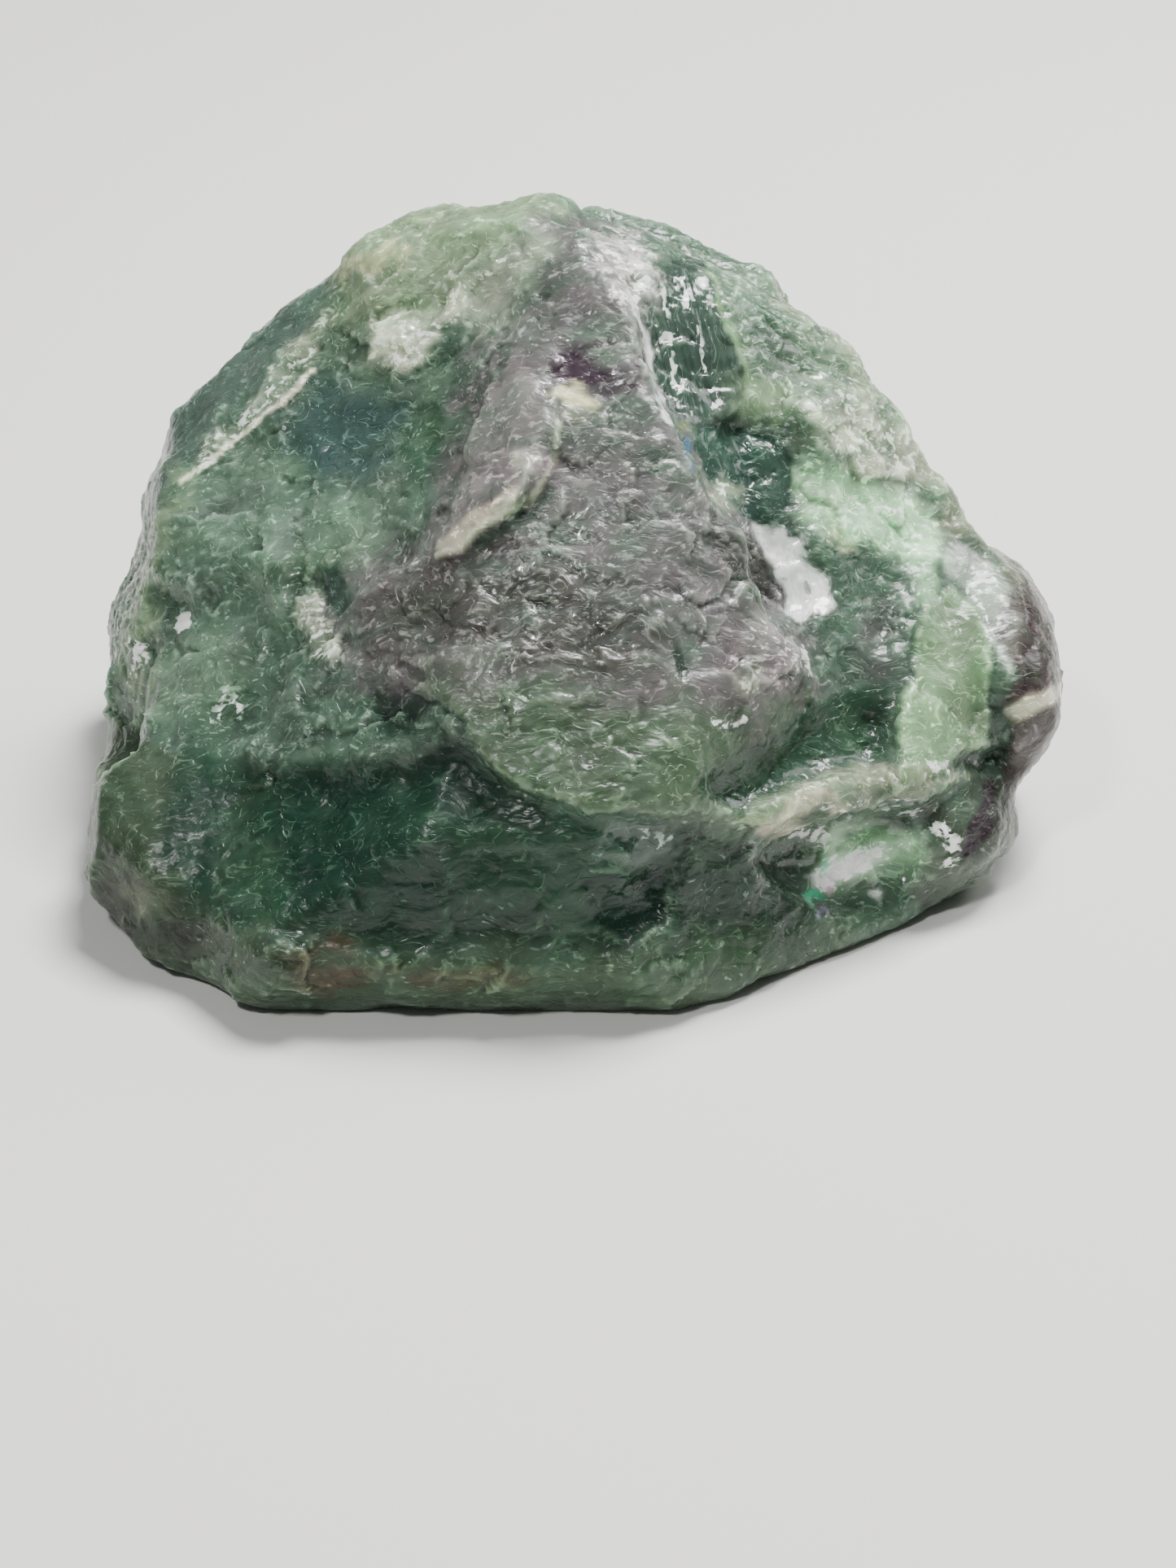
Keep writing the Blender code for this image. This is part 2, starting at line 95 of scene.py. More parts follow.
outlines = {
    "violet plate": [
        (-3.2, 36), (0, 36.5), (1.5, 33), (2.8, 30.5), (3.5, 27), (5.4, 23), (7.4, 19.6), (9.3, 18),
        (10.9, 16.5), (11.5, 14), (10.4, 12.4), (12.6, 10.8), (13, 8.8), (10, 7.4), (5, 8), (0, 9.2),
        (-5, 9.8), (-10, 8.8), (-14.5, 9.6), (-15.2, 12), (-12.5, 15), (-9, 17), (-8, 20), (-6.6, 24),
        (-5.6, 28), (-4.6, 32),
    ],
    "plate shade": [
        (-13.6, 12), (-10.6, 16), (-6.6, 16.8), (-4.8, 18), (-2.8, 17.4), (-1.6, 14.6), (-5, 11.8), (-9, 10.4),
        (-13, 10),
    ],
    "plate corner": [
        (7.2, 19.2), (9.2, 17.6), (10.4, 16.8), (11.2, 15.4), (11.4, 14), (10.4, 12.4), (9.6, 13.6),
        (8.4, 15.8), (6.8, 17),
    ],
    "lilac end": [
        (9.4, 12.2), (11.4, 12.6), (13, 10.8), (13.4, 9), (11, 8), (9.2, 7.8), (8.2, 9.4), (8.8, 11),
    ],
    "tongue rim": [
        (-4, 19.3), (-4.5, 18.9), (-5.5, 18.3), (-6.8, 17.5), (-7.8, 16.7), (-9, 16.4), (-9, 17), (-7.9, 18.1),
        (-6.4, 19.1), (-5, 20.2), (-4.2, 20.8),
    ],
    "tongue": [
        (-4.2, 30), (-2.8, 26.4), (-1.8, 24.2), (-1.8, 22.4), (-2.5, 20.8), (-3.4, 19.7), (-4.5, 18.9), (-5.5, 18.3),
        (-6.8, 17.5), (-7.8, 16.7), (-9, 16.4), (-9.2, 17.2), (-8, 19.8), (-7.4, 22.5), (-6, 26),
    ],
    "crown": [
        (-16, 36), (-15.4, 34), (-14.8, 31.8), (-13.6, 30.4), (-12.2, 29.8), (-9.8, 31), (-8.2, 32.6),
        (-6.4, 34.2), (-5, 35), (-3.4, 36), (-1, 39), (-6, 43), (-14, 42),
    ],
    "crown side": [
        (-8.2, 32.2), (-6.4, 34), (-5, 35), (-3.4, 36.4), (-2.2, 35.6), (-3.2, 33.2), (-4.4, 31.4), (-5.6, 30.4),
        (-7.2, 30.6),
    ],
    "apron": [
        (-11, 9.4), (-8.6, 6.8), (-6.6, 5.2), (-5, 3.2), (-2.6, 2), (0, 1.2), (4.6, 0.9), (8, 1.2),
        (11, 3), (13.6, 8), (8, 9.6), (5, 10.2), (0, 10.8), (-8, 10.8),
    ],
    "left lobe": [
        (-23.5, 3.8), (-23.6, 1.6), (-24.2, -1), (-24.2, -5), (-24.7, -8.6), (-28, -8.4), (-34, -4), (-34, 2),
        (-30, 6.4), (-26.4, 4.8),
    ],
    "shoulder": [
        (20.2, 11.9), (20.9, 13.6), (22.8, 14.8), (24.3, 13.5), (25.1, 11.4), (24.8, 9.2), (25, 6.6),
        (24.6, 4.6), (22.5, 4), (20.4, 2.4), (18.5, 2), (19, 4.5), (19, 7.9), (20.1, 8.9),
    ],
    "cream ledge": [
        (8, 0.6), (11, 0.2), (13, 0.9), (16, 1.1), (20.4, 1.3), (23.5, 3), (20, 3.6), (17.4, 3.4), (15, 3.2),
        (12.6, 2.8),
    ],
    "slope cream": [
        (13.4, 26.2), (15, 27.6), (17.8, 27), (19.6, 25.4), (21, 23.2), (20.4, 21.8), (17.2, 22.2), (15.4, 23.4),
        (14, 24.4),
    ],
    "pit brow": [(7.4, 27), (9.6, 27.6), (12.4, 27), (12.8, 25), (10.6, 24.6), (8.6, 25)],
    "trough": [
        (3.1, 29), (3.6, 32), (4.8, 34), (6.2, 35.4), (7.3, 34.4), (8.6, 30.8), (9.5, 27.2), (9.4, 25.6), (8, 24.8),
        (6, 24.2), (4.6, 24.6), (3.8, 26.4),
    ],
    "pit": [
        (6.8, 24.3), (8.1, 24.9), (9.9, 24.3), (11.5, 23.8), (12.7, 22.6), (12.9, 21.4), (12.4, 19.6), (10.9, 18.3),
        (9.6, 18.8), (7.8, 20.8), (6.7, 22.6),
    ],
    "pit deep": [(10, 23.6), (12.3, 23.4), (12.9, 21.7), (12.3, 19.4), (11.2, 18.6), (10.4, 19.4), (10.6, 21.4)],
    "bright facet": [
        (10.4, 18.4), (12.1, 18.4), (13.4, 16.4), (15.1, 15.2), (15.1, 13.2), (14.1, 13.4), (12.8, 12.9),
        (11.6, 14.7), (11.1, 16.4),
    ],
    "green gap": [
        (15.2, 17.2), (16.8, 17.2), (19.1, 15.5), (20.8, 13.5), (20.3, 11.9), (20, 8.9), (18.9, 8.4),
        (18.4, 6), (15, 8), (13.4, 9.4), (14, 10.9), (15.1, 13.2),
    ],
    "pale bench": [
        (13.4, 22.8), (17, 21.6), (20, 20.8), (22, 18.6), (22.4, 16.2), (21.1, 13.9), (19.1, 15.8),
        (16.8, 17.5), (15.2, 17.6), (13.4, 19.4),
    ],
    "sheen strip": [
        (22.7, 17.9), (24.6, 16.9), (26.8, 14.8), (27, 12.7), (26.5, 9.7), (26, 8.9), (25.1, 11.4),
        (24.3, 13.5), (23.6, 14.8), (22.3, 15.5),
    ],
    "front face": [
        (-24, 4.2), (-18, 3.8), (-13, 3.6), (-10.6, 4.9), (-7.4, 5), (-5.2, 3.1), (-2.6, 1.9), (0, 1.1),
        (4.7, 0.7), (4.9, -2.5), (4.6, -6), (2, -6.9), (-5, -6.8), (-12, -7), (-18, -6.4), (-24, -5),
        (-24, -1),
    ],
    "deep front": [
        (-18.8, 3.4), (-15, 3.4), (-12.8, 4.2), (-11.4, 3.2), (-10.4, 0.6), (-9, -1.6), (-8.6, -4.4), (-11, -6),
        (-14.6, -6.4), (-17.4, -4.6), (-18.6, -1.6),
    ],
    "deep front high": [(-10.6, 4.7), (-7.6, 4.9), (-5.6, 2.8), (-3.6, 1.6), (-5.6, 0.6), (-8.8, 1.2), (-10.6, 2.2)],
    "dark wedge": [(1.2, 0.7), (4.8, 0.8), (4.8, -1.6), (2.6, -2.2), (0.2, -1.8)],
    "dark facet": [(-0.6, -2.6), (4.7, -2.2), (4.6, -5.6), (2.4, -6.4), (0.8, -5.4)],
    "green facet": [
        (6.8, 3.2), (9.6, 5), (13, 7.2), (18.3, 8.8), (18.4, 4.4), (17.2, 3.8), (14.6, 3.2), (12, 2.2),
        (9, 1.4), (7, 1.8),
    ],
    "low right": [(5, 0.4), (9, -0.4), (10.6, -2.8), (14, -5.4), (12, -7.4), (5, -7.6), (4.9, -2.5)],
    "scoop": [
        (9.8, -1), (12, -0.2), (16, 0.6), (19.6, 0.8), (20.6, -1.2), (20.4, -3.6), (17, -5.4), (14, -5),
        (12, -3.8), (10.6, -2.8),
    ],
    "right gap": [(25.6, 8), (26.4, 8), (26.2, 3.4), (24.2, 2.6), (22.6, 3.6), (24.8, 4.6), (25.6, 7)],
    "sparkle": [(-18, 13.4), (-16.6, 13.8), (-15.5, 12), (-15.3, 10.6), (-16.6, 10.2), (-17.8, 11.6)],
    "sparkle slot": [(-16.6, 15.8), (-15.2, 16), (-14.3, 13.8), (-14.9, 12.4), (-16, 13.8)],
    "left window": [
        (-18.8, 25.5), (-17.4, 27.2), (-15.6, 27.8), (-13.4, 26.8), (-11.8, 25.6), (-12.4, 23.2), (-14.2, 21.6),
        (-16.6, 21.4), (-18.4, 22.8),
    ],
    "left high": [
        (-26, 21), (-21, 24.8), (-19, 22), (-14, 20.8), (-11, 20), (-11.6, 17.8), (-19, 17), (-25, 17.6),
    ],
    "left pale": [(-27, 21), (-22, 20.4), (-18.4, 18), (-18, 13), (-22, 9), (-27, 8), (-28, 14)],
    "left strip": [
        (-26, 22.6), (-24, 23.9), (-20.4, 27), (-18.4, 29), (-17.9, 31.2), (-16.4, 35), (-22, 36), (-28, 30),
        (-34, 20), (-29, 18),
    ],
    "left frost": [(-33, 18.6), (-29, 18.8), (-28, 15.4), (-28.6, 12), (-30, 9), (-33, 9)],
    "frost patch": [
        (-13.2, 30.8), (-11.6, 31.6), (-9.9, 31.2), (-8.3, 31.8), (-8.6, 30.8), (-9.8, 29.4), (-10.8, 28.2),
        (-12, 28.6), (-13.2, 28.9),
    ],
    "bright flakes": [(0, 36.6), (0.4, 34.6), (1.2, 32.4), (2.4, 31), (4.4, 31.4), (4.8, 33.6), (3.8, 35.6), (2.6, 37)],
    "small window": [(-13.2, 8.8), (-10.4, 8.6), (-9, 7.4), (-10.6, 6), (-13, 6.2)],
    "right slope": [
        (6.6, 37), (12, 35), (17.4, 31), (21.6, 26), (23.6, 20), (20, 20.4), (17, 21.6), (13, 23),
        (12.4, 25.5), (9, 27), (8, 31),
    ],
    "milky foot": [(-25, -5), (-18, -6.4), (-5, -7), (4.8, -6.6), (12, -5), (14, -13), (-10, -15), (-26, -12)],
    "pale foot": [(-24, -5.4), (-19, -6.2), (-16, -7.4), (-12.6, -7.8), (-13, -8.8), (-18, -8.6), (-24, -8)],
    "right lobe": [(25.6, 13), (26.4, 9.6), (26, 3), (24, -1), (27, -3), (34, 2), (34, 16), (27, 17.5)],
    "corner lobe": [(20.8, 1), (20.4, -4), (22, -7), (27, -3), (26, 2.6), (24, 2.4)],
}

streaks = {   # each is (half width, points)
    "tongue edge": (0.2, [
        (-1.8, 24.2), (-1.8, 22.4), (-2.5, 20.8), (-3.4, 19.7), (-4.5, 18.9), (-5.5, 18.3), (-6.8, 17.5), (-7.8, 16.7),
        (-9, 16.4),
    ]),
    # painted shadow under the tongue's rim
    "rim shadow": (0.3, [(-2.2, 20.2), (-3.2, 19), (-4.4, 18.2), (-5.4, 17.6), (-6.6, 16.8)]),
    "crown gleam": (0.45, [(-4.7, 35.2), (-6.8, 33.2), (-9, 31.2)]),
    "crown cream": (0.5, [(-15.6, 35.4), (-13.4, 35.2), (-11.6, 35.7)]),
    "frost ridge": (0.9, [(-24, 23.8), (-22, 25.4), (-20, 27.2), (-18, 29.4)]),
    "frost ridge top": (0.7, [(-18, 29.4), (-16.8, 31.6), (-15.6, 34)]),
    "frost line": (0.15, [(-26, 21.6), (-24.2, 22.7), (-21.8, 24.6), (-19.1, 26.6), (-17.3, 28.2)]),
    "bright line": (0.38, [(2.6, 32), (3.3, 29.6), (3.9, 27), (4.7, 24.4)]),
    "trough glint": (0.26, [(7.1, 34.2), (7.6, 32.2)]),
    "trough glint left": (0.28, [(4.4, 30.2), (5.4, 29.7)]),
    "trough rib high": (0.2, [(4.7, 33.6), (5, 31.6)]),
    "trough rib middle": (0.22, [(5.9, 34), (6.2, 32.2)]),
    "trough rib low": (0.14, [(5.2, 28.8), (5.6, 26.6)]),
    "trough rib right": (0.12, [(6.7, 30.8), (7.2, 27.2)]),
    "trough rim": (0.25, [(7.1, 35.6), (8.2, 32.8), (9.1, 29.8), (9.8, 26.2)]),
    "right cream": (0.9, [(13, 33.4), (18, 28.6), (21.4, 23.6), (23.2, 18.4)]),
    "pit lip": (0.3, [(9.8, 18.1), (11.2, 17.8), (12.2, 18.3)]),
    "bench cream": (0.5, [(15.2, 19.4), (15.4, 17.4)]),
    "bench glint": (0.3, [(18.4, 19.6), (20.2, 20.4)]),
    "frost tail": (1.1, [(-26, 21.6), (-27.6, 17.4), (-28.4, 13), (-28.6, 9)]),
    "lobe top": (0.9, [(23, 19.4), (25.4, 17.8), (27.6, 15.4)]),
    "rib left": (0.18, [(11.3, 12), (11.7, 10)]),
    "rib middle": (0.18, [(12.2, 11.4), (12.6, 9.6)]),
    "rib right": (0.2, [(13, 10.8), (13.4, 9.2)]),
    "purple vein": (0.5, [(24.9, 1.6), (24.4, 0), (23.6, -1.6)]),
    "lobe crease": (0.3, [(27.6, 14.6), (27.8, 11), (27.4, 8.6)]),
    "lobe gleam": (0.45, [(26.4, 7), (28, 7.6), (29.6, 8.2)]),
    "foot crack": (0.3, [(4.8, 0.9), (4.9, -2.5), (4.6, -6.4)]),
    "apron glint": (0.2, [(7.6, 6.2), (9.4, 6.1)]),
    "scoop crest": (0.55, [(14.6, 1), (17.7, 1.1), (20.9, 0.7)]),
    "scoop strand": (0.4, [(10.8, -0.1), (12.4, 0.6), (13.5, 1.6), (14.8, 1.9)]),
    "scoop glint": (0.35, [(12.3, -0.6), (13.8, -0.8), (14.6, -1.3)]),
    "scoop gleam": (0.6, [(14.3, -3.1), (15.9, -2.6), (17.9, -2.0)]),
    "corner glint": (0.5, [(21.2, 0.2), (21.8, -0.8), (22.6, -1.8), (21.5, -2.7)]),
}

spots = {   # each is (middle, half sizes)
    "purple spot": ((-0.2, 28.3), (1.7, 1.3)),
    "purple spot low": ((1.4, 26.7), (1.0, 0.7)),
    "cream spot": ((-0.7, 25.5), (1.6, 0.85)),
    "tongue highlight": ((-4, 21.4), (0.6, 0.9)),
    "slope shade": ((11.6, 30.6), (1.7, 2.4)),
    "trough head": ((5.4, 32.6), (1.6, 2.0)),
    "gap smoke": ((18.2, 11.2), (1.5, 2.2)),
    "facet green": ((14.5, 14.6), (0.9, 0.9)),
    "plate low": ((-1.5, 12), (5, 3)),
    "left of tongue": ((-10.2, 24.2), (2.2, 3)),
    "scoop glow": ((17.4, -2.2), (3.6, 1.8)),
    "scoop dark": ((12.4, -2.3), (1.7, 0.9)),
    "scoop shade": ((17.4, -4), (2.6, 0.5)),
    "pit glow": ((8.4, 20.2), (1.1, 1.0)),
    "rust spot": ((-14.4, -8.4), (2.0, 1.0)),
    "rust trace": ((-7, -9), (2.6, 0.5)),
    "brown spot": ((9.6, 9), (0.9, 0.8)),
    "lobe foot": ((-27.4, -6.6), (3.8, 3.6)),
    "lobe shade": ((-23.8, 0), (1.6, 4.5)),
    "pale spot": ((-26.5, -4.2), (1.2, 1.0)),
    "left glint": ((-28.4, 10.4), (0.8, 1.0)),
    "left chip": ((-25, 13), (0.5, 0.4)),
    "left net": ((-22.4, 7.6), (1.5, 1.1)),
    "high glint": ((-10.6, 16.2), (0.7, 0.7)),
    "apron notch": ((5.7, 10.1), (0.5, 0.8)),
    "facet blob": ((8.2, 2.7), (1.3, 0.6)),
    "wedge glint": ((4, -0.6), (0.8, 0.6)),
    "ledge glint": ((21.8, 3.4), (0.4, 0.4)),
    "gold gleam": ((6, 24.3), (0.35, 0.3)),
    "blue gleam": ((6.4, 22.7), (0.3, 0.5)),
    "rose gleam": ((14.8, -3.3), (0.6, 0.3)),
    "teal gleam": ((13.6, -4.0), (0.55, 0.35)),
    "teal gleam high": ((14.4, -2.6), (0.6, 0.3)),
    "violet gleam": ((14.1, -5.0), (0.4, 0.3)),
    "cyan gleam": ((18.0, -4.7), (0.5, 0.25)),
}

crispZones = (
    "pit", "pit deep", "pit lip", "dark facet", "left lobe", "green facet", "tongue",
    "tongue rim", "tongue edge", "frost line", "shoulder", "rim shadow", "sheen strip", "trough glint", "rib left", "rib middle", "rib right", "dark wedge",
    "scoop gleam", "sparkle slot", "plate corner", "lobe gleam",
)


def outlineDistance(u, v, outline):
    # how far inside the outline each point is, negative outside
    points, corners = np.stack((u, v), 1), np.array(outline, float)
    nearest, inside = np.full(len(points), 1e9), np.zeros(len(points), bool)
    for a, b in zip(corners, np.roll(corners, -1, axis=0)):
        side = b - a
        along = np.clip((points - a) @ side / (side @ side), 0, 1)
        nearest = np.minimum(nearest, np.hypot(*(points - a - along[:, None] * side).T))
        if a[1] != b[1]:
            inside ^= ((a[1] > v) != (b[1] > v)) & (u < a[0] + (v - a[1]) / (b[1] - a[1]) * side[0])
    return np.where(inside, nearest, -nearest)


def streakDistance(u, v, halfWidth, path):
    points, corners = np.stack((u, v), 1), np.array(path, float)
    nearest = np.full(len(points), 1e9)
    for a, b in zip(corners[:-1], corners[1:]):
        along = np.clip((points - a) @ (b - a) / ((b - a) @ (b - a)), 0, 1)
        nearest = np.minimum(nearest, np.hypot(*(points - a - along[:, None] * (b - a)).T))
    return halfWidth - nearest


def zoneDistance(name, boards):
    u, v = boards["crisp" if name in crispZones else "ragged"]
    if name in outlines:
        return outlineDistance(u, v, outlines[name])
    if name in streaks:
        return streakDistance(u, v, *streaks[name])
    middle, half = spots[name]
    reach = np.hypot((u - middle[0]) / half[0], (v - middle[1]) / half[1])
    return (1 - reach) * min(half)


# The stone's mesh: a copy of the solid, remeshed, with its front twice as fine as the rest

stoneMesh = {"grain": 0.55, "smoothing": 3, "front": 0.12}


def applyModifier(piece, kind, **settings):
    bpy.context.view_layer.objects.active = piece
    modifier = piece.modifiers.new(kind.lower(), kind)
    for key, value in settings.items():
        setattr(modifier, key, value)
    bpy.ops.object.modifier_apply(modifier=modifier.name)


def roughStone():
    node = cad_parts["fluorite"]
    stone = bpy.data.objects.new("roughStone", node.data.copy())
    bpy.context.scene.collection.objects.link(stone)
    stone.data.materials.clear()
    bpy.context.view_layer.objects.active = stone
    stone.select_set(True)
    bpy.ops.object.mode_set(mode="EDIT")
    bpy.ops.mesh.select_all(action="SELECT")
    bpy.ops.mesh.remove_doubles(threshold=0.00001)
    bpy.ops.object.mode_set(mode="OBJECT")
    applyModifier(stone, "REMESH", mode="VOXEL", voxel_size=stoneMesh["grain"] * mm)
    applyModifier(stone, "SMOOTH", factor=0.5, iterations=stoneMesh["smoothing"])
    melt(stone)
    facing = normalsOf(stone.data) @ unit(np.array(board["out"]))
    picked = facing > stoneMesh["front"]
    loops = np.empty(len(stone.data.loops), int)
    stone.data.loops.foreach_get("vertex_index", loops)
    stone.data.polygons.foreach_set("select", picked[loops].reshape(-1, 4).all(axis=1))
    bpy.ops.object.mode_set(mode="EDIT")
    bpy.ops.mesh.select_mode(type="FACE")
    bpy.ops.mesh.subdivide(number_cuts=1, smoothness=0.6)
    bpy.ops.mesh.select_all(action="SELECT")
    bpy.ops.mesh.quads_convert_to_tris()
    bpy.ops.object.mode_set(mode="OBJECT")
    return stone


def placesOf(mesh):
    places = np.empty(len(mesh.vertices) * 3)
    mesh.vertices.foreach_get("co", places)
    return places.reshape(-1, 3) / mm


def normalsOf(mesh):
    normals = np.empty(len(mesh.vertices) * 3)
    mesh.vertices.foreach_get("normal", normals)
    return normals.reshape(-1, 3)


def moveAlong(mesh, directions, heights):
    places = placesOf(mesh) + directions * heights[:, None]
    mesh.vertices.foreach_set("co", (places * mm).ravel())
    mesh.update()


def onBoard(places):
    # board coordinates, shaken so that drawn edges come out ragged, and less so for crisp cleavage edges
    moved = places - board["middle"]
    boards = {}
    for kind, raggedness in (("ragged", 1.0), ("crisp", 0.4)):
        u, v = moved @ np.array(board["right"]), moved @ np.array(board["up"])
        for width, reach in ((4.5, 0.7), (1.7, 0.5), (0.7, 0.25)):
            u = u + raggedness * reach * lumps(places, width, 1)
            v = v + raggedness * reach * lumps(places, width, 3)
        boards[kind] = (u, v)
    return boards


def frontWeight(normals):
    return smoothStep(-0.05, 0.25, normals @ unit(np.array(board["out"])))


# Relief: ledges and notches with crisp broken edges, chipped cells, cleavage steps and wrinkles

ledges = {   # zone: (height towards the front, width of the edge)
    "violet plate": (0.1, 1.2), "crown": (0.1, 1.2), "apron": (0.25, 0.3),
    "left lobe": (0.12, 0.3), "shoulder": (0.35, 0.25), "cream ledge": (0.2, 0.35),
    "slope cream": (0.15, 0.4), "frost patch": (0.12, 0.5), "pit": (-0.15, 0.2), "pit deep": (0.7, 1.0),
    "bright facet": (-0.1, 0.25), "front face": (-0.1, 0.5), "dark facet": (-0.2, 0.2), "dark wedge": (-0.12, 0.25),
    "green facet": (0.1, 0.5), "scoop": (-0.1, 0.5), "right gap": (-0.3, 0.4), "plate corner": (-0.12, 0.25),
    "sparkle": (0.12, 0.2), "sparkle slot": (-0.2, 0.25), "small window": (-0.15, 0.4), "frost line": (0.1, 0.25),
    "purple spot": (-0.12, 0.5), "foot crack": (-0.12, 0.25), "bright line": (0.15, 0.25),
    "purple vein": (-0.1, 0.3), "rim shadow": (-0.05, 0.2), "lobe crease": (-0.15, 0.3), "apron notch": (-0.2, 0.25),
}

tongueEdge = {"height": 0.5, "width": 0.15, "fade": (0.2, 4.0)}   # steep at its lower right, and fading to the left

chips = {   # size of the flakes: (size, tilt, offset)
    "big": (4.2, 0.07, 0.05),
    "middle": (1.9, 0.045, 0.02),
    "small": (0.85, 0.04, 0.008),
}

rough = {   # how strongly each zone is chipped, from smooth glassy to crumbly
    "violet plate": 0.8, "tongue": 0.6, "low right": 0.4, "crown": 0.8, "apron": 0.6, "left window": 0.3, "front face": 0.5,
    "left lobe": 0.35, "pit": 0.5, "pale bench": 0.9, "green facet": 0.35, "trough": 0.6,
    "bright flakes": 1.6, "right slope": 0.9, "slope cream": 1.1, "left strip": 0.4, "frost ridge": 1.2,
    "frost patch": 1.0, "sparkle": 1.6, "scoop": 0.5, "shoulder": 0.5, "cream ledge": 0.9, "right lobe": 0.25,
    "corner lobe": 0.35, "deep front high": 0.2, "tongue rim": 0.5, "lilac end": 1.1, "bright facet": 1.2,
}

terraces = {   # cleavage terraces: (length along the grain, width across it, steps per noise unit, rise)
    "wide": (7.0, 4.0, 4.4, 0.11),
    "narrow": (3.0, 1.7, 3.5, 0.05),
}


def terraceHeights(places, long, short, steps, rise, seed):
    # contour steps of a stretched noise: flat shelves with a sharp riser between them
    grain = np.array([[0.98, 0.14, 0.1], [-0.14, 0.99, 0.0], [-0.1, 0.0, 0.99]])
    stretched = places @ grain.T / np.array([long, short, short])
    count = layeredLumps(stretched, 1.0, 2, seed) * 0.5 * steps
    part = count - np.floor(count)
    return (smoothStep(0.0, 0.14, part) - part) * rise


def chipHeights(places, normals, size, tilt, offset, seed):
    # flat flakes: each point belongs to its nearest seed, and each seed has a tilted plane of its own
    random = np.random.default_rng(seed)
    count = int(7600 / size ** 2 * 1.3)
    seeds = places[random.choice(len(places), min(count, len(places) // 2), replace=False)]
    leans = random.normal(size=(len(seeds), 3)) * tilt
    lifts = random.uniform(-1, 1, len(seeds)) * offset
    tree = kdtree.KDTree(len(seeds))
    for index, seed in enumerate(seeds):
        tree.insert(seed, index)
    tree.balance()
    shaken = places + 0.22 * size * np.stack([lumps(places, size * 0.6, 20 + i) for i in range(3)], 1)
    nearest = np.array([tree.find(place)[1] for place in shaken])
    along = places - seeds[nearest]
    along = along - np.einsum("ij,ij->i", along, normals)[:, None] * normals
    heights = np.einsum("ij,ij->i", leans[nearest], along) + lifts[nearest]
    return np.clip(heights, -2.5 * offset - 0.1, 2.5 * offset + 0.1)


def blend(values, target, mask):
    return values + (target - values) * mask


melted = {   # where the real stone runs smoothly across an edge of the solid: (half width, points)
    "plate left": (2.6, [(-2.2, 34.5), (-3.8, 30), (-5.6, 26.4), (-7.2, 22), (-8.8, 18.8)]),
    "plate foot": (2.8, [(-15.2, 11.5), (-10, 9.2), (-5, 9.6), (0, 9.2), (5, 8.2)]),
    "trough wall": (1.0, [(7.4, 33.6), (8.6, 30), (9.6, 26.6)]),
    "pit wall": (2.0, [(11.4, 23), (12, 20)]),
    "lobe edge": (1.4, [(-24, 3.4), (-24.4, -1), (-24.8, -6)]),
    "lobe notch": (2.8, [(-31, 9), (-29, 6), (-27, 4.6), (-24.6, 4)]),
    "crown foot": (1.6, [(-14.4, 31), (-11, 29.8), (-8, 32.4)]),
    "facet top": (1.2, [(8, 4.4), (12.4, 7), (17.6, 8.8)]),
}


def neighbourMean(mesh, values):
    edges = np.empty(len(mesh.edges) * 2, int)
    mesh.edges.foreach_get("vertices", edges)
    a, b = edges.reshape(-1, 2).T
    total, count = np.zeros_like(values), np.zeros(len(values))
    for one, other in ((a, b), (b, a)):
        for axis in range(3):
            total[:, axis] += np.bincount(one, values[other, axis], len(values))
        count += np.bincount(one, minlength=len(values))
    return total / count[:, None]


def melt(stone):
    mesh = stone.data
    places = placesOf(mesh)
    boards = onBoard(places)
    front = frontWeight(normalsOf(mesh))
    soft = np.zeros(len(places))
    for halfWidth, path in melted.values():
        soft = np.maximum(soft, smoothStep(-0.8, 0.8, streakDistance(*boards["ragged"], halfWidth, path)))
    soft = (0.7 * soft * front)[:, None]
    for _ in range(90):
        places = blend(places, neighbourMean(mesh, places), soft)
    mesh.vertices.foreach_set("co", (places * mm).ravel())
    mesh.update()


shaping = [   # (right, up) on the board, reach, and how far it is pushed away from the middle
    ((6, 38), 3.6, -1.0), ((9, 36.5), 3.4, -0.6), ((13, 33.6), 3.0, -0.5), ((-3.6, 39), 3.0, -0.35),
    ((-25.6, 27), 3.6, 0.9), ((-27, 21.6), 3.0, 0.6), ((-31, 17), 3.4, -0.75), ((-32.4, -3.6), 3.0, 0.5), ((25, -5.4), 3.2, -0.5),
    ((26.4, 17.6), 3.0, 0.6), ((-17, 35.4), 2.2, -0.3),
]


def shape(stone):
    # brings the outline closer to the photograph's, by less than a millimetre
    mesh = stone.data
    places = placesOf(mesh)
    right, up = np.array(board["right"]), np.array(board["up"])
    moved = places - board["middle"]
    u, v = moved @ right, moved @ up
    away = unit(np.stack((u, v - 14), 1))
    push = np.zeros(len(places))
    for (a, b), reach, amount in shaping:
        push += amount * np.exp(-((u - a) ** 2 + (v - b) ** 2) / reach ** 2)
    push *= smoothStep(0.3, 3, places[:, 2])
    moveAlong(mesh, away[:, :1] * right + away[:, 1:] * up, push)


